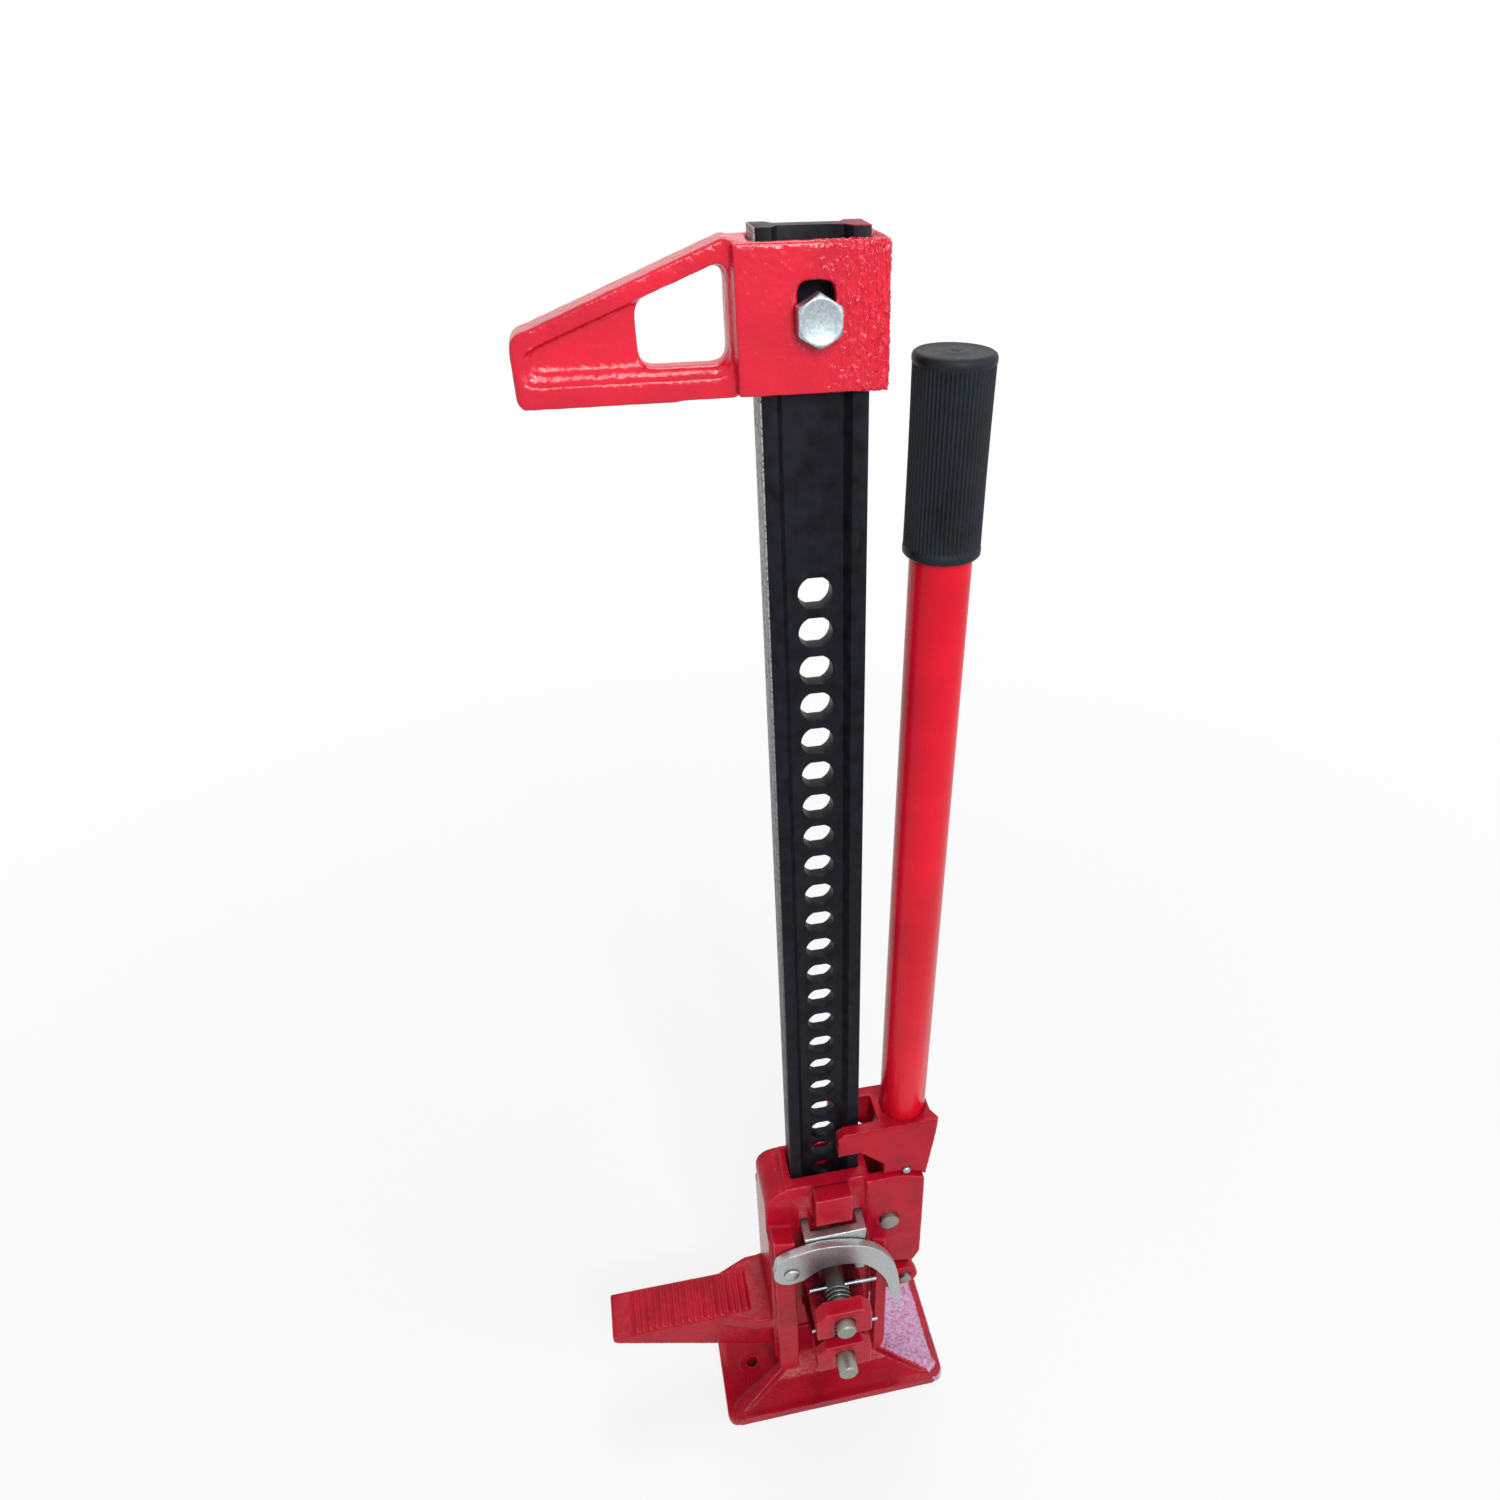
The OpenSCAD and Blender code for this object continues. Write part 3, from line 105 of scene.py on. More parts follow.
def painted_sheen(tree, place, normal, colour, from_x):
    """A painted reflection over a colour: a pale coarse bloom past from_x on the side that faces the handle.
    """
    side = add(tree, "ShaderNodeSeparateXYZ", {}, {"Vector": normal})
    spot = add(tree, "ShaderNodeSeparateXYZ", {}, {"Vector": place})
    coarse = add(tree, "ShaderNodeTexNoise", {"Scale": per_mm(2.8), "Detail": 5.0, "Roughness": 0.8},
                 {"Vector": place})
    past = add(tree, "ShaderNodeMath", {"operation": "GREATER_THAN", 1: from_x}, {0: spot.outputs["X"]})
    facing = add(tree, "ShaderNodeValToRGB", {"stops": [(0.08, grey(0.0)), (0.16, grey(1.0))]},
                 {"Fac": side.outputs["X"]})
    speck = add(tree, "ShaderNodeValToRGB", {"stops": [(0.36, grey(0.2)), (0.56, grey(1.0))]},
                {"Fac": coarse.outputs["Fac"]})
    share = add(tree, "ShaderNodeMath", {"operation": "MULTIPLY"},
                {0: facing.outputs["Color"], 1: speck.outputs["Color"]})
    amount = add(tree, "ShaderNodeMath", {"operation": "MULTIPLY"},
                 {0: share.outputs[0], 1: past.outputs[0]})
    # Pale lilac colour of the painted reflection.
    return add(tree, "ShaderNodeMix", {"data_type": "RGBA", 7: srgb("#CDADD2")},
               {0: amount.outputs[0], 6: colour}).outputs[2]


def painted_pin_shade(tree, place, colour, height):
    """Painted shade over a colour: near black in the hollow round a climbing pin at this height."""
    pin_r, reach, darkest = 14 * MM, 28 * MM, 0.9
    unshaded_y, shaded_y = -65 * MM, -48 * MM
    above = add(tree, "ShaderNodeVectorMath", {"operation": "SUBTRACT", 1: (0, 0, height)}, {0: place})
    flat = add(tree, "ShaderNodeVectorMath", {"operation": "MULTIPLY", 1: (1, 0, 1)},
               {0: above.outputs[0]})
    away = add(tree, "ShaderNodeVectorMath", {"operation": "LENGTH"}, {0: flat.outputs[0]})
    shade_falloff = add(tree, "ShaderNodeMapRange",
                {"From Min": pin_r, "From Max": reach, "To Min": darkest, "To Max": 0.0},
                {"Value": away.outputs["Value"]})
    depth = add(tree, "ShaderNodeSeparateXYZ", {}, {"Vector": place})
    inside = add(tree, "ShaderNodeMapRange", {"From Min": unshaded_y, "From Max": shaded_y},
                 {"Value": depth.outputs["Y"]})
    black = add(tree, "ShaderNodeMath", {"operation": "MULTIPLY"},
                {0: shade_falloff.outputs["Result"], 1: inside.outputs["Result"]})
    # Near black over the hollow: painted shade.
    return add(tree, "ShaderNodeMix", {"data_type": "RGBA", 7: srgb("#1A1214")},
               {0: black.outputs[0], 6: colour}).outputs[2]


def creased(tree, place, relief, from_x):
    """Fine slanting creases on a relief, where the wet coat crept: deeper the further past from_x."""
    full_x, deepest = from_x + 30 * MM, 4.5
    across = add(tree, "ShaderNodeSeparateXYZ", {}, {"Vector": place})
    reach = add(tree, "ShaderNodeMapRange", {"From Min": from_x, "From Max": full_x, "To Max": deepest},
                {"Value": across.outputs["X"]})
    slant = add(tree, "ShaderNodeMapping",
                {"Rotation": (0, math.radians(45), 0), "Scale": (1.0, 1.0, 0.4)}, {"Vector": place})
    crease = add(tree, "ShaderNodeTexNoise", {"Scale": per_mm(2.4), "Detail": 2.0, "Distortion": 0.8},
                 {"Vector": slant.outputs["Vector"]})
    fold = add(tree, "ShaderNodeValToRGB", {"stops": [(0.46, grey(0.0)), (0.62, grey(1.0))]},
               {"Fac": crease.outputs["Fac"]})
    folds = add(tree, "ShaderNodeMath", {"operation": "MULTIPLY"},
                {0: fold.outputs["Color"], 1: reach.outputs["Result"]})
    return add(tree, "ShaderNodeMath", {"operation": "ADD"}, {0: relief, 1: folds.outputs[0]}).outputs[0]


def cast_paint(name, bright, deep, crest, grain_mm, depth_mm, rough, specular,
               sheen_x=None, runs_x=None, shade_z=()):
    """Enamel sprayed on a sand casting: the sand's grain shows as soft pits, the pits hold a deeper red,
    the paint is thin and pale on crests and edges, and part of that paleness is a painted highlight. Past
    the x given for it, the side that faces the handle has a pale coarse bloom that is a painted reflection,
    past runs_x the wet coat has crept into fine slanting creases that glint, and the hollow round the
    climbing pins, at the heights given for it, is painted near black as painted shade."""
    flow_mm, bead_mm, duller = 24, 2.6, 0.16
    material, tree, place = new_material(name)
    sand = add(tree, "ShaderNodeTexNoise", {"Scale": per_mm(grain_mm), "Detail": 3.0, "Roughness": 0.6},
               {"Vector": place})
    flow = add(tree, "ShaderNodeTexNoise", {"Scale": per_mm(flow_mm), "Detail": 2.0}, {"Vector": place})
    beads = add(tree, "ShaderNodeTexVoronoi", {"Scale": per_mm(bead_mm), "feature": "SMOOTH_F1"},
                {"Vector": place})
    tone = add(tree, "ShaderNodeValToRGB", {"stops": [(0.34, srgb(deep)), (0.60, srgb(bright))]},
               {"Fac": flow.outputs["Fac"]})
    pit = add(tree, "ShaderNodeValToRGB", {"stops": [(0.28, grey(0.20)), (0.42, grey(0.0))]},
              {"Fac": sand.outputs["Fac"]})
    pitted = add(tree, "ShaderNodeMix", {"data_type": "RGBA", 7: srgb(deep)},
                 {0: pit.outputs["Color"], 6: tone.outputs["Color"]})
    shape = add(tree, "ShaderNodeNewGeometry", {})
    # Crests and edges turn pale: partly paint thinned there, partly a painted highlight.
    edge_wear_and_glint = add(tree, "ShaderNodeValToRGB", {"stops": [(0.525, grey(0.0)), (0.57, grey(0.6))]},
                 {"Fac": shape.outputs["Pointiness"]})
    colour = add(tree, "ShaderNodeMix", {"data_type": "RGBA", 7: srgb(crest)},
                 {0: edge_wear_and_glint.outputs["Color"], 6: pitted.outputs[2]}).outputs[2]
    if sheen_x is not None:
        colour = painted_sheen(tree, place, shape.outputs["Normal"], colour, sheen_x)
    for height in shade_z:
        colour = painted_pin_shade(tree, place, colour, height)
    polish = add(tree, "ShaderNodeValToRGB", {"stops": [(0.30, grey(rough + duller)), (0.70, grey(rough))]},
                 {"Fac": sand.outputs["Fac"]})
    bead = add(tree, "ShaderNodeValToRGB", {"stops": [(0.10, grey(0.5)), (0.60, grey(0.0))]},
               {"Fac": beads.outputs["Distance"]})
    relief = add(tree, "ShaderNodeMath", {"operation": "ADD"},
                 {0: sand.outputs["Fac"], 1: bead.outputs["Color"]}).outputs[0]
    if runs_x is not None:
        relief = creased(tree, place, relief, runs_x)
    bump = add(tree, "ShaderNodeBump", {"Strength": 0.6, "Distance": depth_mm * MM}, {"Height": relief})
    shader = add(tree, "ShaderNodeBsdfPrincipled", {"IOR": 1.5, "Specular IOR Level": specular},
                 {"Base Color": colour, "Roughness": polish.outputs["Color"],
                  "Normal": bump.outputs["Normal"]})
    add(tree, "ShaderNodeOutputMaterial", {}, {"Surface": shader.outputs["BSDF"]})
    return material


def tube_paint(name, bright, deep):
    """Enamel on drawn steel tube: smooth and glossy, with slow waves, faint orange peel
    and fine marks of rubbing along the tube."""
    material, tree, place = new_material(name)
    wave = add(tree, "ShaderNodeTexNoise", {"Scale": per_mm(60), "Detail": 2.0}, {"Vector": place})
    peel = add(tree, "ShaderNodeTexNoise", {"Scale": per_mm(1.8), "Detail": 1.0}, {"Vector": place})
    along = add(tree, "ShaderNodeMapping", {"Scale": (1.0, 1.0, 0.05)}, {"Vector": place})
    rub = add(tree, "ShaderNodeTexNoise", {"Scale": per_mm(2.4), "Detail": 4.0},
              {"Vector": along.outputs["Vector"]})
    colour = add(tree, "ShaderNodeValToRGB", {"stops": [(0.35, srgb(deep)), (0.60, srgb(bright))]},
                 {"Fac": wave.outputs["Fac"]})
    rough = add(tree, "ShaderNodeValToRGB", {"stops": [(0.45, grey(0.26)), (0.75, grey(0.32))]},
                {"Fac": rub.outputs["Fac"]})
    bump = add(tree, "ShaderNodeBump", {"Strength": 0.2, "Distance": 0.05 * MM},
               {"Height": peel.outputs["Fac"]})
    shader = add(tree, "ShaderNodeBsdfPrincipled", {"IOR": 1.5, "Specular IOR Level": 0.2},
                 {"Base Color": colour.outputs["Color"], "Roughness": rough.outputs["Color"],
                  "Normal": bump.outputs["Normal"]})
    add(tree, "ShaderNodeOutputMaterial", {}, {"Surface": shader.outputs["BSDF"]})
    return material


def bar_paint(name, steel_and_sheen_x, top_z):
    """Satin black enamel on hot rolled steel: mill waves with a blue-black tint, grey streaks of rubbing
    along the bar, the nose side pale grey, partly paint scuffed off to the steel and partly a painted sheen,
    more so higher up, and a painted red reflection on the right of the top end."""
    clean_z, steel_and_sheen_full_z = 300 * MM, 720 * MM
    red_reflection_from, red_reflection_full = 8 * MM, 20 * MM
    material, tree, place = new_material(name)
    along = add(tree, "ShaderNodeMapping", {"Scale": (1.0, 1.0, 0.05)}, {"Vector": place})
    streak = add(tree, "ShaderNodeTexNoise", {"Scale": per_mm(1.5), "Detail": 5.0, "Roughness": 0.7},
                 {"Vector": along.outputs["Vector"]})
    mill = add(tree, "ShaderNodeTexNoise", {"Scale": per_mm(8), "Detail": 4.0}, {"Vector": place})
    speck = add(tree, "ShaderNodeTexNoise", {"Scale": per_mm(1.6), "Detail": 4.0, "Roughness": 0.7},
                {"Vector": place})
    base = add(tree, "ShaderNodeValToRGB", {"stops": [(0.30, srgb("#0D0D12")), (0.70, srgb("#1A1A24"))]},
               {"Fac": mill.outputs["Fac"]})
    scuff = add(tree, "ShaderNodeValToRGB", {"stops": [(0.62, grey(0.0)), (0.82, grey(0.45))]},
                {"Fac": streak.outputs["Fac"]})
    scuffed = add(tree, "ShaderNodeMix", {"data_type": "RGBA", 7: srgb("#4C4B50")},
                  {0: scuff.outputs["Color"], 6: base.outputs["Color"]})
    spot = add(tree, "ShaderNodeSeparateXYZ", {}, {"Vector": place})
    # The nose side turns pale grey, more so higher up: partly paint scuffed off to the steel, partly a
    # painted sheen.
    outer = add(tree, "ShaderNodeMath", {"operation": "LESS_THAN", 1: steel_and_sheen_x}, {0: spot.outputs["X"]})
    height = add(tree, "ShaderNodeMapRange", {"From Min": clean_z, "From Max": steel_and_sheen_full_z, "To Max": 0.9},
                 {"Value": spot.outputs["Z"]})
    patch = add(tree, "ShaderNodeValToRGB", {"stops": [(0.40, grey(0.1)), (0.52, grey(1.0))]},
                {"Fac": speck.outputs["Fac"]})
    steel_and_sheen_reach = add(tree, "ShaderNodeMath", {"operation": "MULTIPLY"},
               {0: outer.outputs[0], 1: height.outputs["Result"]})
    steel_and_sheen_share = add(tree, "ShaderNodeMath", {"operation": "MULTIPLY"},
               {0: steel_and_sheen_reach.outputs[0], 1: patch.outputs["Color"]})
    steel_and_sheen_colour = add(tree, "ShaderNodeMix", {"data_type": "RGBA", 7: srgb("#B9B7B5")},
               {0: steel_and_sheen_share.outputs[0], 6: scuffed.outputs[2]})
    # A painted red reflection on the right of the bar's top end.
    crown = add(tree, "ShaderNodeMath", {"operation": "GREATER_THAN", 1: top_z}, {0: spot.outputs["Z"]})
    right = add(tree, "ShaderNodeMapRange", {"From Min": red_reflection_from, "From Max": red_reflection_full},
                {"Value": spot.outputs["X"]})
    red_reflection = add(tree, "ShaderNodeMath", {"operation": "MULTIPLY"},
               {0: crown.outputs[0], 1: right.outputs["Result"]})
    patched = add(tree, "ShaderNodeMath", {"operation": "MULTIPLY"},
                  {0: red_reflection.outputs[0], 1: patch.outputs["Color"]})
    colour = add(tree, "ShaderNodeMix", {"data_type": "RGBA", 7: srgb("#A01830")},
                 {0: patched.outputs[0], 6: steel_and_sheen_colour.outputs[2]})
    rough = add(tree, "ShaderNodeValToRGB", {"stops": [(0.30, grey(0.34)), (0.70, grey(0.50))]},
                {"Fac": mill.outputs["Fac"]})
    bump = add(tree, "ShaderNodeBump", {"Strength": 0.4, "Distance": 0.15 * MM},
               {"Height": mill.outputs["Fac"]})
    shader = add(tree, "ShaderNodeBsdfPrincipled", {"IOR": 1.5, "Specular IOR Level": 0.1},
                 {"Base Color": colour.outputs[2], "Roughness": rough.outputs["Color"],
                  "Normal": bump.outputs["Normal"]})
    add(tree, "ShaderNodeOutputMaterial", {}, {"Surface": shader.outputs["BSDF"]})
    return material


def zinc_plate(name, light, dark, grain_mm, roughness, depth_mm):
    """Zinc plate on steel: grey spangle with dull spots and a fine grain, which blurs what it reflects."""
    spangle_share, spread = 2.5, 0.04
    material, tree, place = new_material(name)
    spangle = add(tree, "ShaderNodeTexVoronoi", {"Scale": per_mm(grain_mm * spangle_share)},
                  {"Vector": place})
    grain = add(tree, "ShaderNodeTexNoise", {"Scale": per_mm(grain_mm), "Detail": 4.0, "Roughness": 0.6},
                {"Vector": place})
    mottle = add(tree, "ShaderNodeMath", {"operation": "MULTIPLY"},
                 {0: spangle.outputs["Distance"], 1: grain.outputs["Fac"]})
    colour = add(tree, "ShaderNodeValToRGB", {"stops": [(0.32, srgb(dark)), (0.62, srgb(light))]},
                 {"Fac": grain.outputs["Fac"]})
    rough = add(tree, "ShaderNodeValToRGB",
                {"stops": [(0.05, grey(roughness + spread)), (0.40, grey(roughness - spread))]},
                {"Fac": mottle.outputs[0]})
    bump = add(tree, "ShaderNodeBump", {"Strength": 0.5, "Distance": depth_mm * MM},
               {"Height": grain.outputs["Fac"]})
    shader = add(tree, "ShaderNodeBsdfPrincipled", {"Metallic": 1.0},
                 {"Base Color": colour.outputs["Color"], "Roughness": rough.outputs["Color"],
                  "Normal": bump.outputs["Normal"]})
    add(tree, "ShaderNodeOutputMaterial", {}, {"Surface": shader.outputs["BSDF"]})
    return material


def grip_rubber(name):
    """Moulded rubber, blue-black: matte, with a faint bloom and dust and a fine moulded grain."""
    material, tree, place = new_material(name)
    bloom = add(tree, "ShaderNodeTexNoise", {"Scale": per_mm(14), "Detail": 5.0, "Roughness": 0.6},
                {"Vector": place})
    grain = add(tree, "ShaderNodeTexNoise", {"Scale": per_mm(0.6), "Detail": 2.0}, {"Vector": place})
    colour = add(tree, "ShaderNodeValToRGB", {"stops": [(0.35, srgb("#06090F")), (0.72, srgb("#131B27"))]},
                 {"Fac": bloom.outputs["Fac"]})
    rough = add(tree, "ShaderNodeValToRGB", {"stops": [(0.30, grey(0.46)), (0.70, grey(0.66))]},
                {"Fac": bloom.outputs["Fac"]})
    bump = add(tree, "ShaderNodeBump", {"Strength": 0.3, "Distance": 0.05 * MM},
               {"Height": grain.outputs["Fac"]})
    shader = add(tree, "ShaderNodeBsdfPrincipled", {"IOR": 1.52, "Specular IOR Level": 0.25},
                 {"Base Color": colour.outputs["Color"], "Roughness": rough.outputs["Color"],
                  "Normal": bump.outputs["Normal"]})
    add(tree, "ShaderNodeOutputMaterial", {}, {"Surface": shader.outputs["BSDF"]})
    return material


bar_low, bar_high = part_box("bar")
# Where the bar's nose side turns pale, partly scuffed and partly a painted sheen, and where its top end
# starts.
steel_and_sheen_side_x, crown_z = bar_low.x + 0.6 * MM, bar_high.z - 0.4 * MM
climbing_pins = ("lower_climbing_pin", "upper_climbing_pin")
pin_z = [sum(corner.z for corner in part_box(pin)) / 2 for pin in climbing_pins]
above_pins_z = pin_z[-1] + 20 * MM
# The runner and base reds are set darker than the clamp's as painted shade, for parts that sit lower,
# further from the light.
CLAMP_RED = cast_paint("enamel_on_clamp_casting", "#DA1131", "#C90D2C", "#F2606E",
                       grain_mm=2.6, depth_mm=0.35, rough=0.13, specular=0.4, runs_x=-5 * MM)
# The runner castings carry painted shade, near black, round the climbing pins.
RUNNER_RED = cast_paint("enamel_on_runner_castings", "#B81029", "#A40D24", "#E0606F",
                        grain_mm=2.8, depth_mm=0.16, rough=0.16, specular=0.14,
                        shade_z=pin_z + [above_pins_z])
# The base's side that faces the handle has a painted reflection, past 40 mm.
BASE_RED = cast_paint("enamel_on_base_casting", "#B01028", "#9A0C22", "#D8566A",
                      grain_mm=2.2, depth_mm=0.24, rough=0.2, specular=0.16, sheen_x=40 * MM)
TUBE_RED = tube_paint("enamel_on_drawn_tube", "#E00E2A", "#C80C25")
BAR_BLACK = bar_paint("enamel_on_rolled_steel", steel_and_sheen_side_x, crown_z)
CAST_ZINC = zinc_plate("zinc_plated_casting", "#C2C6C6", "#A4A8A9",
                       grain_mm=1.2, roughness=0.42, depth_mm=0.07)
BRIGHT_ZINC = zinc_plate("bright_zinc_fastener", "#B4C0C5", "#929DA3",
                         grain_mm=1.4, roughness=0.42, depth_mm=0.05)
PIN_STEEL = zinc_plate("dull_plated_pin_steel", "#A0A29A", "#85877F",
                       grain_mm=1.1, roughness=0.42, depth_mm=0.05)
WIRE_STEEL = zinc_plate("drawn_spring_wire", "#8C9094", "#55585C",
                        grain_mm=0.8, roughness=0.34, depth_mm=0.03)
RUBBER = grip_rubber("moulded_grip_rubber")


# Pieces and the CAD nodes they stand for

def body_of(node):
    """The body that a CAD node belongs to."""
    for name, members in frame["record"]["behaviour"]["bodies"].items():
        if node in members:
            return name


def fit(ob, material, node, rides=True):
    """Puts a finished piece in place of a CAD node, and on that node's body unless rides is false."""
    if ob.name not in bpy.context.scene.collection.all_objects:
        bpy.context.scene.collection.objects.link(ob)
    ob.data.materials.clear()
    ob.data.materials.append(material)
    ob.data.polygons.foreach_set("use_smooth", [True] * len(ob.data.polygons))
    if rides:
        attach(ob, body_of(node))
    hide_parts(node)
    return ob


def bake(ob):
    """Turns an object's modifiers into its mesh."""
    bpy.context.view_layer.update()
    mesh = bpy.data.meshes.new_from_object(ob.evaluated_get(bpy.context.evaluated_depsgraph_get()))
    ob.modifiers.clear()
    ob.data = mesh


def welded_copy(node, name, flatten=False):
    """A copy of a CAD node's mesh, its split vertices joined and, if asked, its flat triangles merged."""
    weld, flat = 0.002 * MM, math.radians(0.2)
    bm = bmesh.new()
    bm.from_mesh(nodes[node].data)
    bmesh.ops.remove_doubles(bm, verts=bm.verts, dist=weld)
    if flatten:
        bmesh.ops.dissolve_limit(bm, angle_limit=flat, verts=bm.verts, edges=bm.edges)
    mesh = bpy.data.meshes.new(name)
    bm.to_mesh(mesh)
    bm.free()
    ob = bpy.data.objects.new(name, mesh)
    bpy.context.scene.collection.objects.link(ob)
    return ob


def rings_to_mesh(name, rows):
    """A closed skin through rings of points, with flat ends."""
    count = len(rows[0])
    verts = [tuple(p) for row in rows for p in row]
    steps = [(i * count, k, (k + 1) % count) for i in range(len(rows) - 1) for k in range(count)]
    faces = [(at + k, at + after, at + count + after, at + count + k) for at, k, after in steps]
    faces.append(tuple(reversed(range(count))))
    faces.append(tuple(range((len(rows) - 1) * count, len(rows) * count)))
    mesh = bpy.data.meshes.new(name)
    mesh.from_pydata(verts, [], faces)
    bm = bmesh.new()
    bm.from_mesh(mesh)
    bmesh.ops.recalc_face_normals(bm, faces=bm.faces)
    bm.to_mesh(mesh)
    bm.free()
    return bpy.data.objects.new(name, mesh)


# Castings

def casting(node, name, material, voxel_mm, rounds, keep, swell_mm, seed, run_mm=0.0):
    """A CAD node as cast: its edges are rounded off and its faces a little uneven. With run_mm, the paint
    has dried in slanting runs of that height, more of them toward the right."""
    slow, slow_share = per_mm(7), 0.75
    fast, fast_share = per_mm(3.2), 0.25
    along, across = per_mm(7), per_mm(2.6)
    sharpness, blotch, ragged = 3.5, per_mm(14), 1.4
    middle_share, full_x = 0.2, 28 * MM
    ob = welded_copy(node, name)
    remesh = ob.modifiers.new("remesh", "REMESH")
    remesh.mode = "VOXEL"
    remesh.voxel_size = voxel_mm * MM * 1
    smooth = ob.modifiers.new("smooth", "SMOOTH")
    smooth.factor = 0.5
    smooth.iterations = rounds
    thin = ob.modifiers.new("thin", "DECIMATE")
    thin.ratio = keep
    bake(ob)
    shift = Vector((seed, seed * 0.7, seed * 1.3))
    low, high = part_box(node)
    normals = [v.normal.copy() for v in ob.data.vertices]
    for v, n in zip(ob.data.vertices, normals):
        wave = noise.noise(v.co * slow + shift) * slow_share + noise.noise(v.co * fast + shift) * fast_share
        sink = (0.5 + wave) * swell_mm
        if run_mm:
            run = Vector(((v.co.x - v.co.z) * across, v.co.y * across, (v.co.x + v.co.z) * along))
            ridge = max(0.0, 1 - sharpness * abs(noise.noise(run + shift)))
            patch = middle_share + v.co.x / full_x + noise.noise(v.co * blotch) * ragged
            sink += run_mm * (1 - ridge * ridge * min(1.0, max(0.0, patch)))
        v.co -= n * sink * MM
        v.co = Vector(min(max(c, a), b) for c, a, b in zip(v.co, low, high))
    return fit(ob, material, node)


# After the material: voxel size in mm, smoothing rounds, share of faces kept, swell in mm, seed, runs in mm
casting("top_clamp", "clamp_casting", CLAMP_RED, 0.7, 55, 0.7, 0.2, 3.1, 0.6)
casting("base_plate", "base_casting", BASE_RED, 1.0, 5, 0.4, 0.2, 7.7)
casting("large_runner", "large_runner_casting", RUNNER_RED, 0.9, 5, 0.45, 0.16, 11.3)
casting("small_runner", "small_runner_casting", RUNNER_RED, 0.8, 5, 0.45, 0.14, 5.9)
casting("handle_socket", "handle_socket_casting", RUNNER_RED, 0.8, 5, 0.45, 0.14, 2.3)
casting("link", "link_casting", RUNNER_RED, 0.7, 3, 0.5, 0.1, 9.1)
casting("stirrup", "stirrup_casting", CAST_ZINC, 0.45, 5, 0.5, 0.06, 4.7)
casting("reversing_lever", "lever_casting", CAST_ZINC, 0.45, 6, 0.5, 0.08, 6.1)


# Rolled and machined pieces

def machined(node, name, material, edge_mm):
    """A CAD node as machined, with its sharp edges broken."""
    sharp, segments = math.radians(30), 3
    ob = welded_copy(node, name, flatten=True)
    ob.data.polygons.foreach_set("use_smooth", [True] * len(ob.data.polygons))
    bevel = ob.modifiers.new("edges", "BEVEL")
    bevel.width = edge_mm * MM
    bevel.segments = segments
    bevel.limit_method = "ANGLE"
    bevel.angle_limit = sharp
    bevel.harden_normals = True
    bake(ob)
    return fit(ob, material, node)


# The last number is the width of the broken edge in mm
machined("bar", "rolled_bar", BAR_BLACK, 0.9)
machined("handle_tube", "drawn_tube", TUBE_RED, 0.5)
for pin in ("upper_climbing_pin", "lower_climbing_pin", "pivot_pin", "link_lower_pin", "link_upper_pin"):
    machined(pin, pin + "_turned", PIN_STEEL, 0.5)
for rod in ("upper_cross_rod", "lower_cross_rod", "foot_pin"):
    machined(rod, rod + "_drawn", BRIGHT_ZINC, 0.4)


# Turned pieces whose axis runs front to back

def ring(y, radius, count=64):
    """Points of a circle about the Y axis."""
    return [Vector((radius * math.cos(TAU * k / count), y, radius * math.sin(TAU * k / count)))
            for k in range(count)]


def dome(y, radius, rise, steps=6):
    """Places along Y and radii, from an edge at y to a domed end that rises along Y."""
    nearly_flat = math.radians(86)
    return [(y + rise * math.sin(a), radius * math.cos(a))
            for a in (nearly_flat * i / steps for i in range(steps + 1))]


def turned(node, name, material, profile):
    """A piece turned about the Y axis, from places along it and radii, then moved to its CAD node."""
    low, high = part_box(node)
    ob = rings_to_mesh(name, [ring(y, r) for y, r in profile])
    ob.data.transform(Matrix.Translation(((low.x + high.x) / 2, 0, (low.z + high.z) / 2)))
    return fit(ob, material, node)


def socket_pin():
    """Pin across the handle's socket, peened to a dome at both ends."""
    low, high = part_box("socket_pin")
    radius, rise = (high.z - low.z) / 2, 1.6 * MM
    out = dome(high.y - rise, radius, rise)
    turned("socket_pin", "socket_pin_peened", BRIGHT_ZINC, [(-y, r) for y, r in reversed(out)] + out)


def lever_rivet():
    """Shoulder rivet of the reversing lever, with a low domed head."""
    low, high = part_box("lever_rivet")
    head_r, head_t = (high.z - low.z) / 2, 2.5 * MM
    shank_r, chamfer = head_r / 1.4, 0.4 * MM
    rise, under_r = head_t * 0.75, head_r * 0.98
    profile = [(-y, r) for y, r in reversed(dome(-low.y - rise, head_r, rise))]
    profile += [(low.y + head_t, under_r), (low.y + head_t, shank_r), (high.y - chamfer, shank_r),
                (high.y, shank_r - chamfer)]
    turned("lever_rivet", "lever_rivet_headed", CAST_ZINC, profile)


socket_pin()
lever_rivet()


# Clamp bolt and nut

def hexagon(y, flats, turn_down, count=96):
    """A ring of a hexagon with a corner up, its corners turned down to a radius."""
    step = TAU / 6
    row = []
    for k in range(count):
        a = TAU * k / count
        r = min(flats / 2 / math.cos((a + step / 2) % step - step / 2), turn_down)
        row.append(Vector((r * math.cos(a), y, r * math.sin(a))))
    return row


def hexagon_rows(flats, low, high, bevel_low, bevel_high, steps=14):
    """A hexagon's rings from low to high, with its corners bevelled at the ends that are named."""
    face_r, slope = flats / 2 * 0.97, 1.7
    rows = []
    for i in range(steps + 1):
        y = low + (high - low) * (0.5 - 0.5 * math.cos(math.pi * i / steps))
        reach = flats / math.sqrt(3)
        if bevel_low:
            reach = min(reach, face_r + (y - low) * slope)
        if bevel_high:
            reach = min(reach, face_r + (high - y) * slope)
        rows.append(hexagon(y, flats, reach))
    return rows


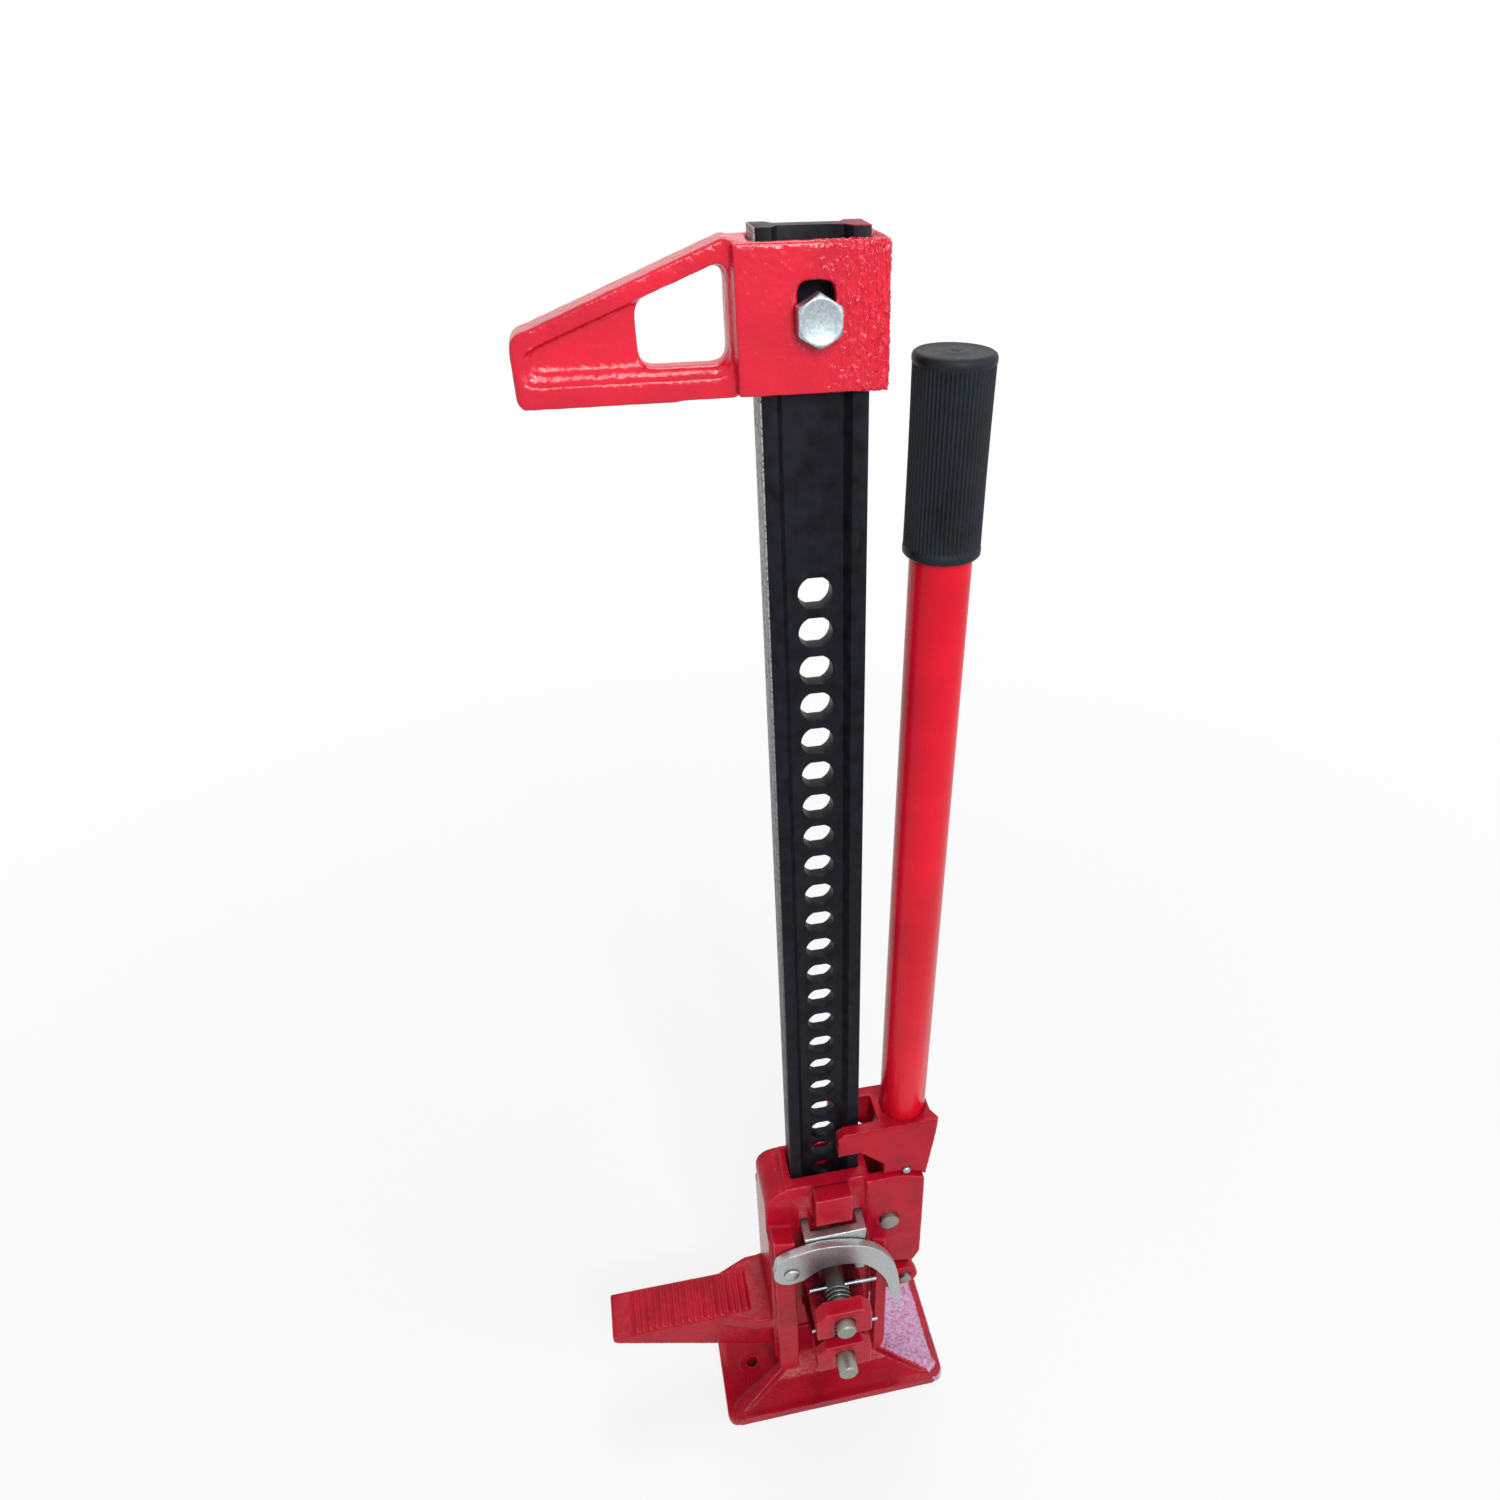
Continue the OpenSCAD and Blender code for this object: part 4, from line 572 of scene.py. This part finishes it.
def thread_rows(low, high, radius, pitch, depth, count=96, steps=40):
    """Rings of a screw thread that tapers off at its end."""
    lead, end_share = 0.9 * MM, 0.6
    rows = []
    for i in range(steps + 1):
        y = low + (high - low) * i / steps
        taper = min(1, end_share + (1 - end_share) * (high - y) / lead)
        row = []
        for k in range(count):
            tooth = abs((y / pitch - k / count) % 1 * 2 - 1)
            r = (radius - depth * (1 - tooth)) * taper
            a = TAU * k / count
            row.append(Vector((r * math.cos(a), y, r * math.sin(a))))
        rows.append(row)
    return rows


def bolt_and_nut():
    """Hexagon bolt through the clamp, with a washer face, a plain shank and a thread's end, and its nut."""
    bolt_low, bolt_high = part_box("clamp_bolt")
    nut_low, nut_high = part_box("clamp_nut")
    clamp_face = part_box("top_clamp")[0].y
    centre = Matrix.Translation((0, 0, (nut_low.z + nut_high.z) / 2))
    flats = nut_high.x - nut_low.x
    thread_r, pitch, depth = 6 * MM, 1.75 * MM, 0.55 * MM
    thread_from, shank_to = nut_high.y - 1 * MM, nut_low.y - 0.5 * MM
    washer_r, washer_t = flats * 0.475, 0.6 * MM
    mouth_r, bore_r, bore_depth = thread_r * 1.12, thread_r * 1.005, 0.8 * MM
    count, sharp = 96, math.radians(38)
    top = bolt_low.y
    # Depth in mm of the dish in the head's top, and its radius as a share of the flats
    dish = [ring(top + down * MM, flats * share, count)
            for down, share in ((0.5, 0.36), (0.12, 0.42), (0, 0.46))]
    head = hexagon_rows(flats, top, clamp_face - washer_t, True, False)
    washer = [ring(clamp_face - washer_t, washer_r, count), ring(clamp_face, washer_r, count)]
    shank = [ring(clamp_face, thread_r, count), ring(shank_to, thread_r, count)]
    thread = thread_rows(thread_from, bolt_high.y, thread_r, pitch, depth)
    bolt = rings_to_mesh("hex_bolt", dish + head + washer + shank + thread)
    bore = [ring(nut_high.y, mouth_r, count), ring(nut_high.y - bore_depth, bore_r, count)]
    nut = rings_to_mesh("hex_nut", hexagon_rows(flats, nut_low.y, nut_high.y, True, True) + bore)
    for ob, node in ((bolt, "clamp_bolt"), (nut, "clamp_nut")):
        ob.data.transform(centre)
        fit(ob, BRIGHT_ZINC, node)
        edge = ob.modifiers.new("edge", "EDGE_SPLIT")
        edge.split_angle = sharp


bolt_and_nut()


# Wire pieces: springs and split pins

def wire(name, path, radius, sides=14):
    """A round wire through points, with flat ends."""
    rows = []
    side = None
    for i, p in enumerate(path):
        along = (path[min(i + 1, len(path) - 1)] - path[max(i - 1, 0)]).normalized()
        if side is None:
            side = along.orthogonal().normalized()
        side = (side - along * side.dot(along)).normalized()
        up = along.cross(side)
        rows.append([p + radius * (math.cos(TAU * k / sides) * up + math.sin(TAU * k / sides) * side)
                     for k in range(sides)])
    return rings_to_mesh(name, rows)


def spring(node, name, wire_r=0.8 * MM, turns=4, per_turn=40):
    """Compression spring: even curls from seat to seat, with short straight ends square to the seats.

    It is put on no body and stays where it is built.
    """
    low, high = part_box(node)
    r = (high.x - low.x) / 2 - wire_r
    lead, seat_steps = 2 * wire_r, 4
    path = [Vector((r, low.y + lead * t / seat_steps, 0)) for t in range(seat_steps)]
    for i in range(turns * per_turn + 1):
        a = TAU * i / per_turn
        y = low.y + lead + (high.y - low.y - 2 * lead) * i / (turns * per_turn)
        path.append(Vector((r * math.cos(a), y, r * math.sin(a))))
    path += [Vector((r, high.y - lead * t / seat_steps, 0)) for t in reversed(range(seat_steps))]
    ob = wire(name, path, wire_r)
    ob.data.transform(Matrix.Translation((0, 0, (low.z + high.z) / 2)))
    fit(ob, WIRE_STEEL, node, rides=False)
    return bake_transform(ob)


def split_pin(node, name):
    """Split pin bent from wire: an eye on top, two legs side by side down the hole, their ends spread."""
    low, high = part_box(node)
    x, y = (low.x + high.x) / 2, (low.y + high.y) / 2
    wire_r, leg_x = 0.72 * MM, 0.74 * MM
    eye_r = (high.x - low.x) / 2 - wire_r
    eye_z = high.z - wire_r - eye_r
    hole_low = low.z + 3 * MM
    spread, bend_x, bend_z = 2.4 * MM, leg_x + 0.7 * MM, hole_low - 1.2 * MM
    eye_foot = eye_z - math.sqrt(eye_r ** 2 - leg_x ** 2)
    leg = [Vector((px, 0, pz)) for px, pz in (
        (spread, low.z + wire_r), (bend_x, bend_z), (leg_x, hole_low), (leg_x, (hole_low + eye_foot) / 2),
        (leg_x, eye_foot - 0.3 * MM))]
    start = math.asin(leg_x / eye_r)
    steps = 30
    eye = [Vector((eye_r * math.sin(a), 0, eye_z - eye_r * math.cos(a)))
           for a in (start + (TAU - 2 * start) * i / steps for i in range(steps + 1))]
    path = leg + eye + [Vector((-p.x, 0, p.z)) for p in reversed(leg)]
    ob = wire(name, path, wire_r, sides=10)
    ob.data.transform(Matrix.Translation((x, y, 0)))
    return fit(ob, BRIGHT_ZINC, node)


spring("upper_pin_spring", "upper_coil_spring")
spring("lower_pin_spring", "lower_coil_spring")
split_pin("pivot_split_pin", "pivot_cotter")
split_pin("link_lower_split_pin", "link_cotter")


# Rubber grip

def ribbed_grip():
    """Moulded grip: plain bands at both ends, round-bottomed grooves between, a slight waist, closed top."""
    low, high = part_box("hand_grip")
    tube_low, tube_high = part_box("handle_tube")
    lean = math.radians(0.87)
    axis = Vector((math.sin(lean), 0, math.cos(lean)))
    r = (high.y - low.y) / 2
    bore = (tube_high.y - tube_low.y) / 2
    length = (high.z - low.z - 2 * r * math.sin(lean)) / math.cos(lean)
    foot = (low + high) / 2 - axis * length / 2
    ribs, count, hollow, groove = 56, 448, 2.2, 0.8 * MM
    run_out = groove * 0.3
    waist, band, under, steps = 0.25 * MM, 6.2 * MM, 0.3 * MM, 10

    def row(height, radius, depth=0.0):
        """A ring at this height, with grooves of this depth between the ribs."""
        points = []
        for k in range(count):
            a = TAU * k / count
            wave = 0.5 - 0.5 * math.cos(ribs * a)
            reach = radius - depth * wave ** hollow
            points.append(Vector((reach * math.cos(a), reach * math.sin(a), height)))
        return points

    # At the foot: height in mm, and mm outside the tube, then mm inside the grip's full radius
    rows = [row(h * MM, bore + d * MM) for h, d in ((1, 0.2), (0.2, 1))]
    rows += [row(h * MM, r - d * MM) for h, d in ((0.2, 0.9), (1.1, 0.1), (3.6, 0), (4.6, 0.3))]
    rows.append(row(5.2 * MM, r - under, run_out))
    for t in range(steps + 1):
        dip = waist * math.sin(math.pi * t / steps)
        rows.append(row(band + (length - 2 * band) * t / steps, r - under - dip, groove))
    rows.append(row(length - 5.4 * MM, r - under, run_out))
    # At the top: mm below the end, and mm inside the full radius, then a share of that radius
    for h, d in ((5, 0.3), (4.2, 0), (2.4, 0), (1.1, 0.5), (0.35, 1.6), (0.1, 2.8), (0.5, 3.6)):
        rows.append(row(length - h * MM, r - d * MM))
    for h, share in ((0.6, 0.35), (0.3, 0.3), (0.3, 0.12), (0.9, 0.08)):
        rows.append(row(length - h * MM, r * share))
    grip = rings_to_mesh("ribbed_grip", rows)
    grip.data.transform(Matrix.Translation((foot.x, 0, foot.z)) @ Matrix.Rotation(lean, 4, "Y"))
    fit(grip, RUBBER, "hand_grip")


ribbed_grip()


# Floor, backdrop and light

def any_seen_ray(tree):
    """Share of a ray that shows the white background: camera, glossy and transmission rays."""
    rays = add(tree, "ShaderNodeLightPath", {})
    shown = add(tree, "ShaderNodeMath", {"operation": "MAXIMUM"},
                {0: rays.outputs["Is Camera Ray"], 1: rays.outputs["Is Glossy Ray"]})
    return add(tree, "ShaderNodeMath", {"operation": "MAXIMUM"},
               {0: shown.outputs[0], 1: rays.outputs["Is Transmission Ray"]}).outputs[0]


def floor_paint(name, near, far):
    """Pale matte floor: near white with a soft shadow, painted near black under the base as painted shade,
    and plain white far off, where it meets the backdrop."""
    inset, base_high = 4 * MM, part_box("base_plate")[1]
    material, tree, place = new_material(name)
    glow = add(tree, "ShaderNodeEmission", {"Color": grey(1.0), "Strength": 1.0})
    away = add(tree, "ShaderNodeVectorMath", {"operation": "LENGTH"}, {0: place})
    share = add(tree, "ShaderNodeMapRange", {"From Min": near, "From Max": far, "To Min": 0.8},
                {"Value": away.outputs["Value"]})
    spot = add(tree, "ShaderNodeSeparateXYZ", {}, {"Vector": place})
    over_x = add(tree, "ShaderNodeMath", {"operation": "ABSOLUTE"}, {0: spot.outputs["X"]})
    over_y = add(tree, "ShaderNodeMath", {"operation": "ABSOLUTE"}, {0: spot.outputs["Y"]})
    past_x = add(tree, "ShaderNodeMath", {"operation": "GREATER_THAN", 1: base_high.x - inset},
                 {0: over_x.outputs[0]})
    past_y = add(tree, "ShaderNodeMath", {"operation": "GREATER_THAN", 1: base_high.y - inset},
                 {0: over_y.outputs[0]})
    open_floor = add(tree, "ShaderNodeMath", {"operation": "MAXIMUM"},
                     {0: past_x.outputs[0], 1: past_y.outputs[0]})
    # Under the base the floor is painted near black: painted shade.
    tone = add(tree, "ShaderNodeValToRGB", {"stops": [(0.0, grey(0.08)), (1.0, grey(0.8))]},
               {"Fac": open_floor.outputs[0]})
    matte = add(tree, "ShaderNodeBsdfDiffuse", {}, {"Color": tone.outputs["Color"]})
    lit = add(tree, "ShaderNodeMath", {"operation": "MULTIPLY"},
              {0: share.outputs["Result"], 1: open_floor.outputs[0]})
    shown = add(tree, "ShaderNodeMath", {"operation": "MULTIPLY"},
                {0: lit.outputs[0], 1: any_seen_ray(tree)})
    mixed = add(tree, "ShaderNodeMixShader", {},
                {0: shown.outputs[0], 1: matte.outputs[0], 2: glow.outputs[0]})
    add(tree, "ShaderNodeOutputMaterial", {}, {"Surface": mixed.outputs[0]})
    return material


def studio_floor():
    """A wide flat floor just under the base."""
    reach, drop = 30.0, 0.5 * MM
    corners = [(x * reach, y * reach, -drop) for x, y in ((-1, -1), (1, -1), (1, 1), (-1, 1))]
    mesh = bpy.data.meshes.new("floor")
    mesh.from_pydata(corners, [], [(0, 1, 2, 3)])
    floor = bpy.data.objects.new("floor", mesh)
    bpy.context.scene.collection.objects.link(floor)
    floor.data.materials.append(floor_paint("pale_floor", near=0.35, far=1.6))


def studio_room():
    """Dim bluish room light on the object, and plain white wherever the background shows."""
    world = bpy.data.worlds.new("studio")
    bpy.context.scene.world = world
    world.use_nodes = True
    tree = world.node_tree
    tree.nodes.clear()
    room = add(tree, "ShaderNodeBackground", {"Color": (0.92, 0.95, 1.0, 1), "Strength": 0.42})
    white = add(tree, "ShaderNodeBackground", {"Color": grey(1.0), "Strength": 1.0})
    pick = add(tree, "ShaderNodeMixShader", {},
               {0: any_seen_ray(tree), 1: room.outputs[0], 2: white.outputs[0]})
    add(tree, "ShaderNodeOutputWorld", {}, {"Surface": pick.outputs[0]})


def lamp(name, place, target, size, watts, colour=(1, 1, 1)):
    """A soft square lamp that faces a point."""
    data = bpy.data.lights.new(name, "AREA")
    data.size = size
    data.energy = watts
    data.color = colour
    ob = bpy.data.objects.new(name, data)
    ob.location = place
    ob.rotation_euler = (Vector(target) - Vector(place)).to_track_quat("-Z", "Y").to_euler()
    bpy.context.scene.collection.objects.link(ob)


studio_floor()
studio_room()
# Place, target, side in metres, watts and colour
lamp("key", (0.05, -1.15, 1.5), (0, 0, 0.5), 0.5, 10.5, (1, 0.98, 0.96))
lamp("spark", (0.2, -0.9, 1.05), (0, 0, 0.7), 0.08, 2.4)
lamp("fill", (1.9, -1.1, 1.4), (0, 0, 0.4), 1.4, 12, (0.95, 0.97, 1))
lamp("top", (0.2, 0.9, 2.4), (0, 0, 0.5), 1.0, 16)


# Camera, whose place and angles were solved from the bar, the base and the rows of holes in the photograph

PICTURE_PX = 1500
FOCAL_PX = 1101.08
CENTRE_PX = (839.18, 836.56)
EYE = (-0.10104, -0.507, 0.90089)
YAW, PITCH = math.radians(12.685), math.radians(-35.6275)


def photo_camera():
    """The camera of the photograph, made the scene's camera."""
    sensor, nearest = 36, 10 * MM
    camera = bpy.data.cameras.new("camera")
    camera.sensor_width = sensor
    camera.lens = FOCAL_PX / PICTURE_PX * sensor
    camera.shift_x = -(CENTRE_PX[0] - PICTURE_PX / 2) / PICTURE_PX
    camera.shift_y = (CENTRE_PX[1] - PICTURE_PX / 2) / PICTURE_PX
    camera.clip_start = nearest
    ob = bpy.data.objects.new("camera", camera)
    look = Vector((math.sin(YAW) * math.cos(PITCH), math.cos(YAW) * math.cos(PITCH), math.sin(PITCH)))
    ob.location = EYE
    ob.rotation_euler = look.to_track_quat("-Z", "Y").to_euler()
    bpy.context.scene.collection.objects.link(ob)
    bpy.context.scene.camera = ob


photo_camera()
bpy.context.scene.view_settings.view_transform = "Standard"
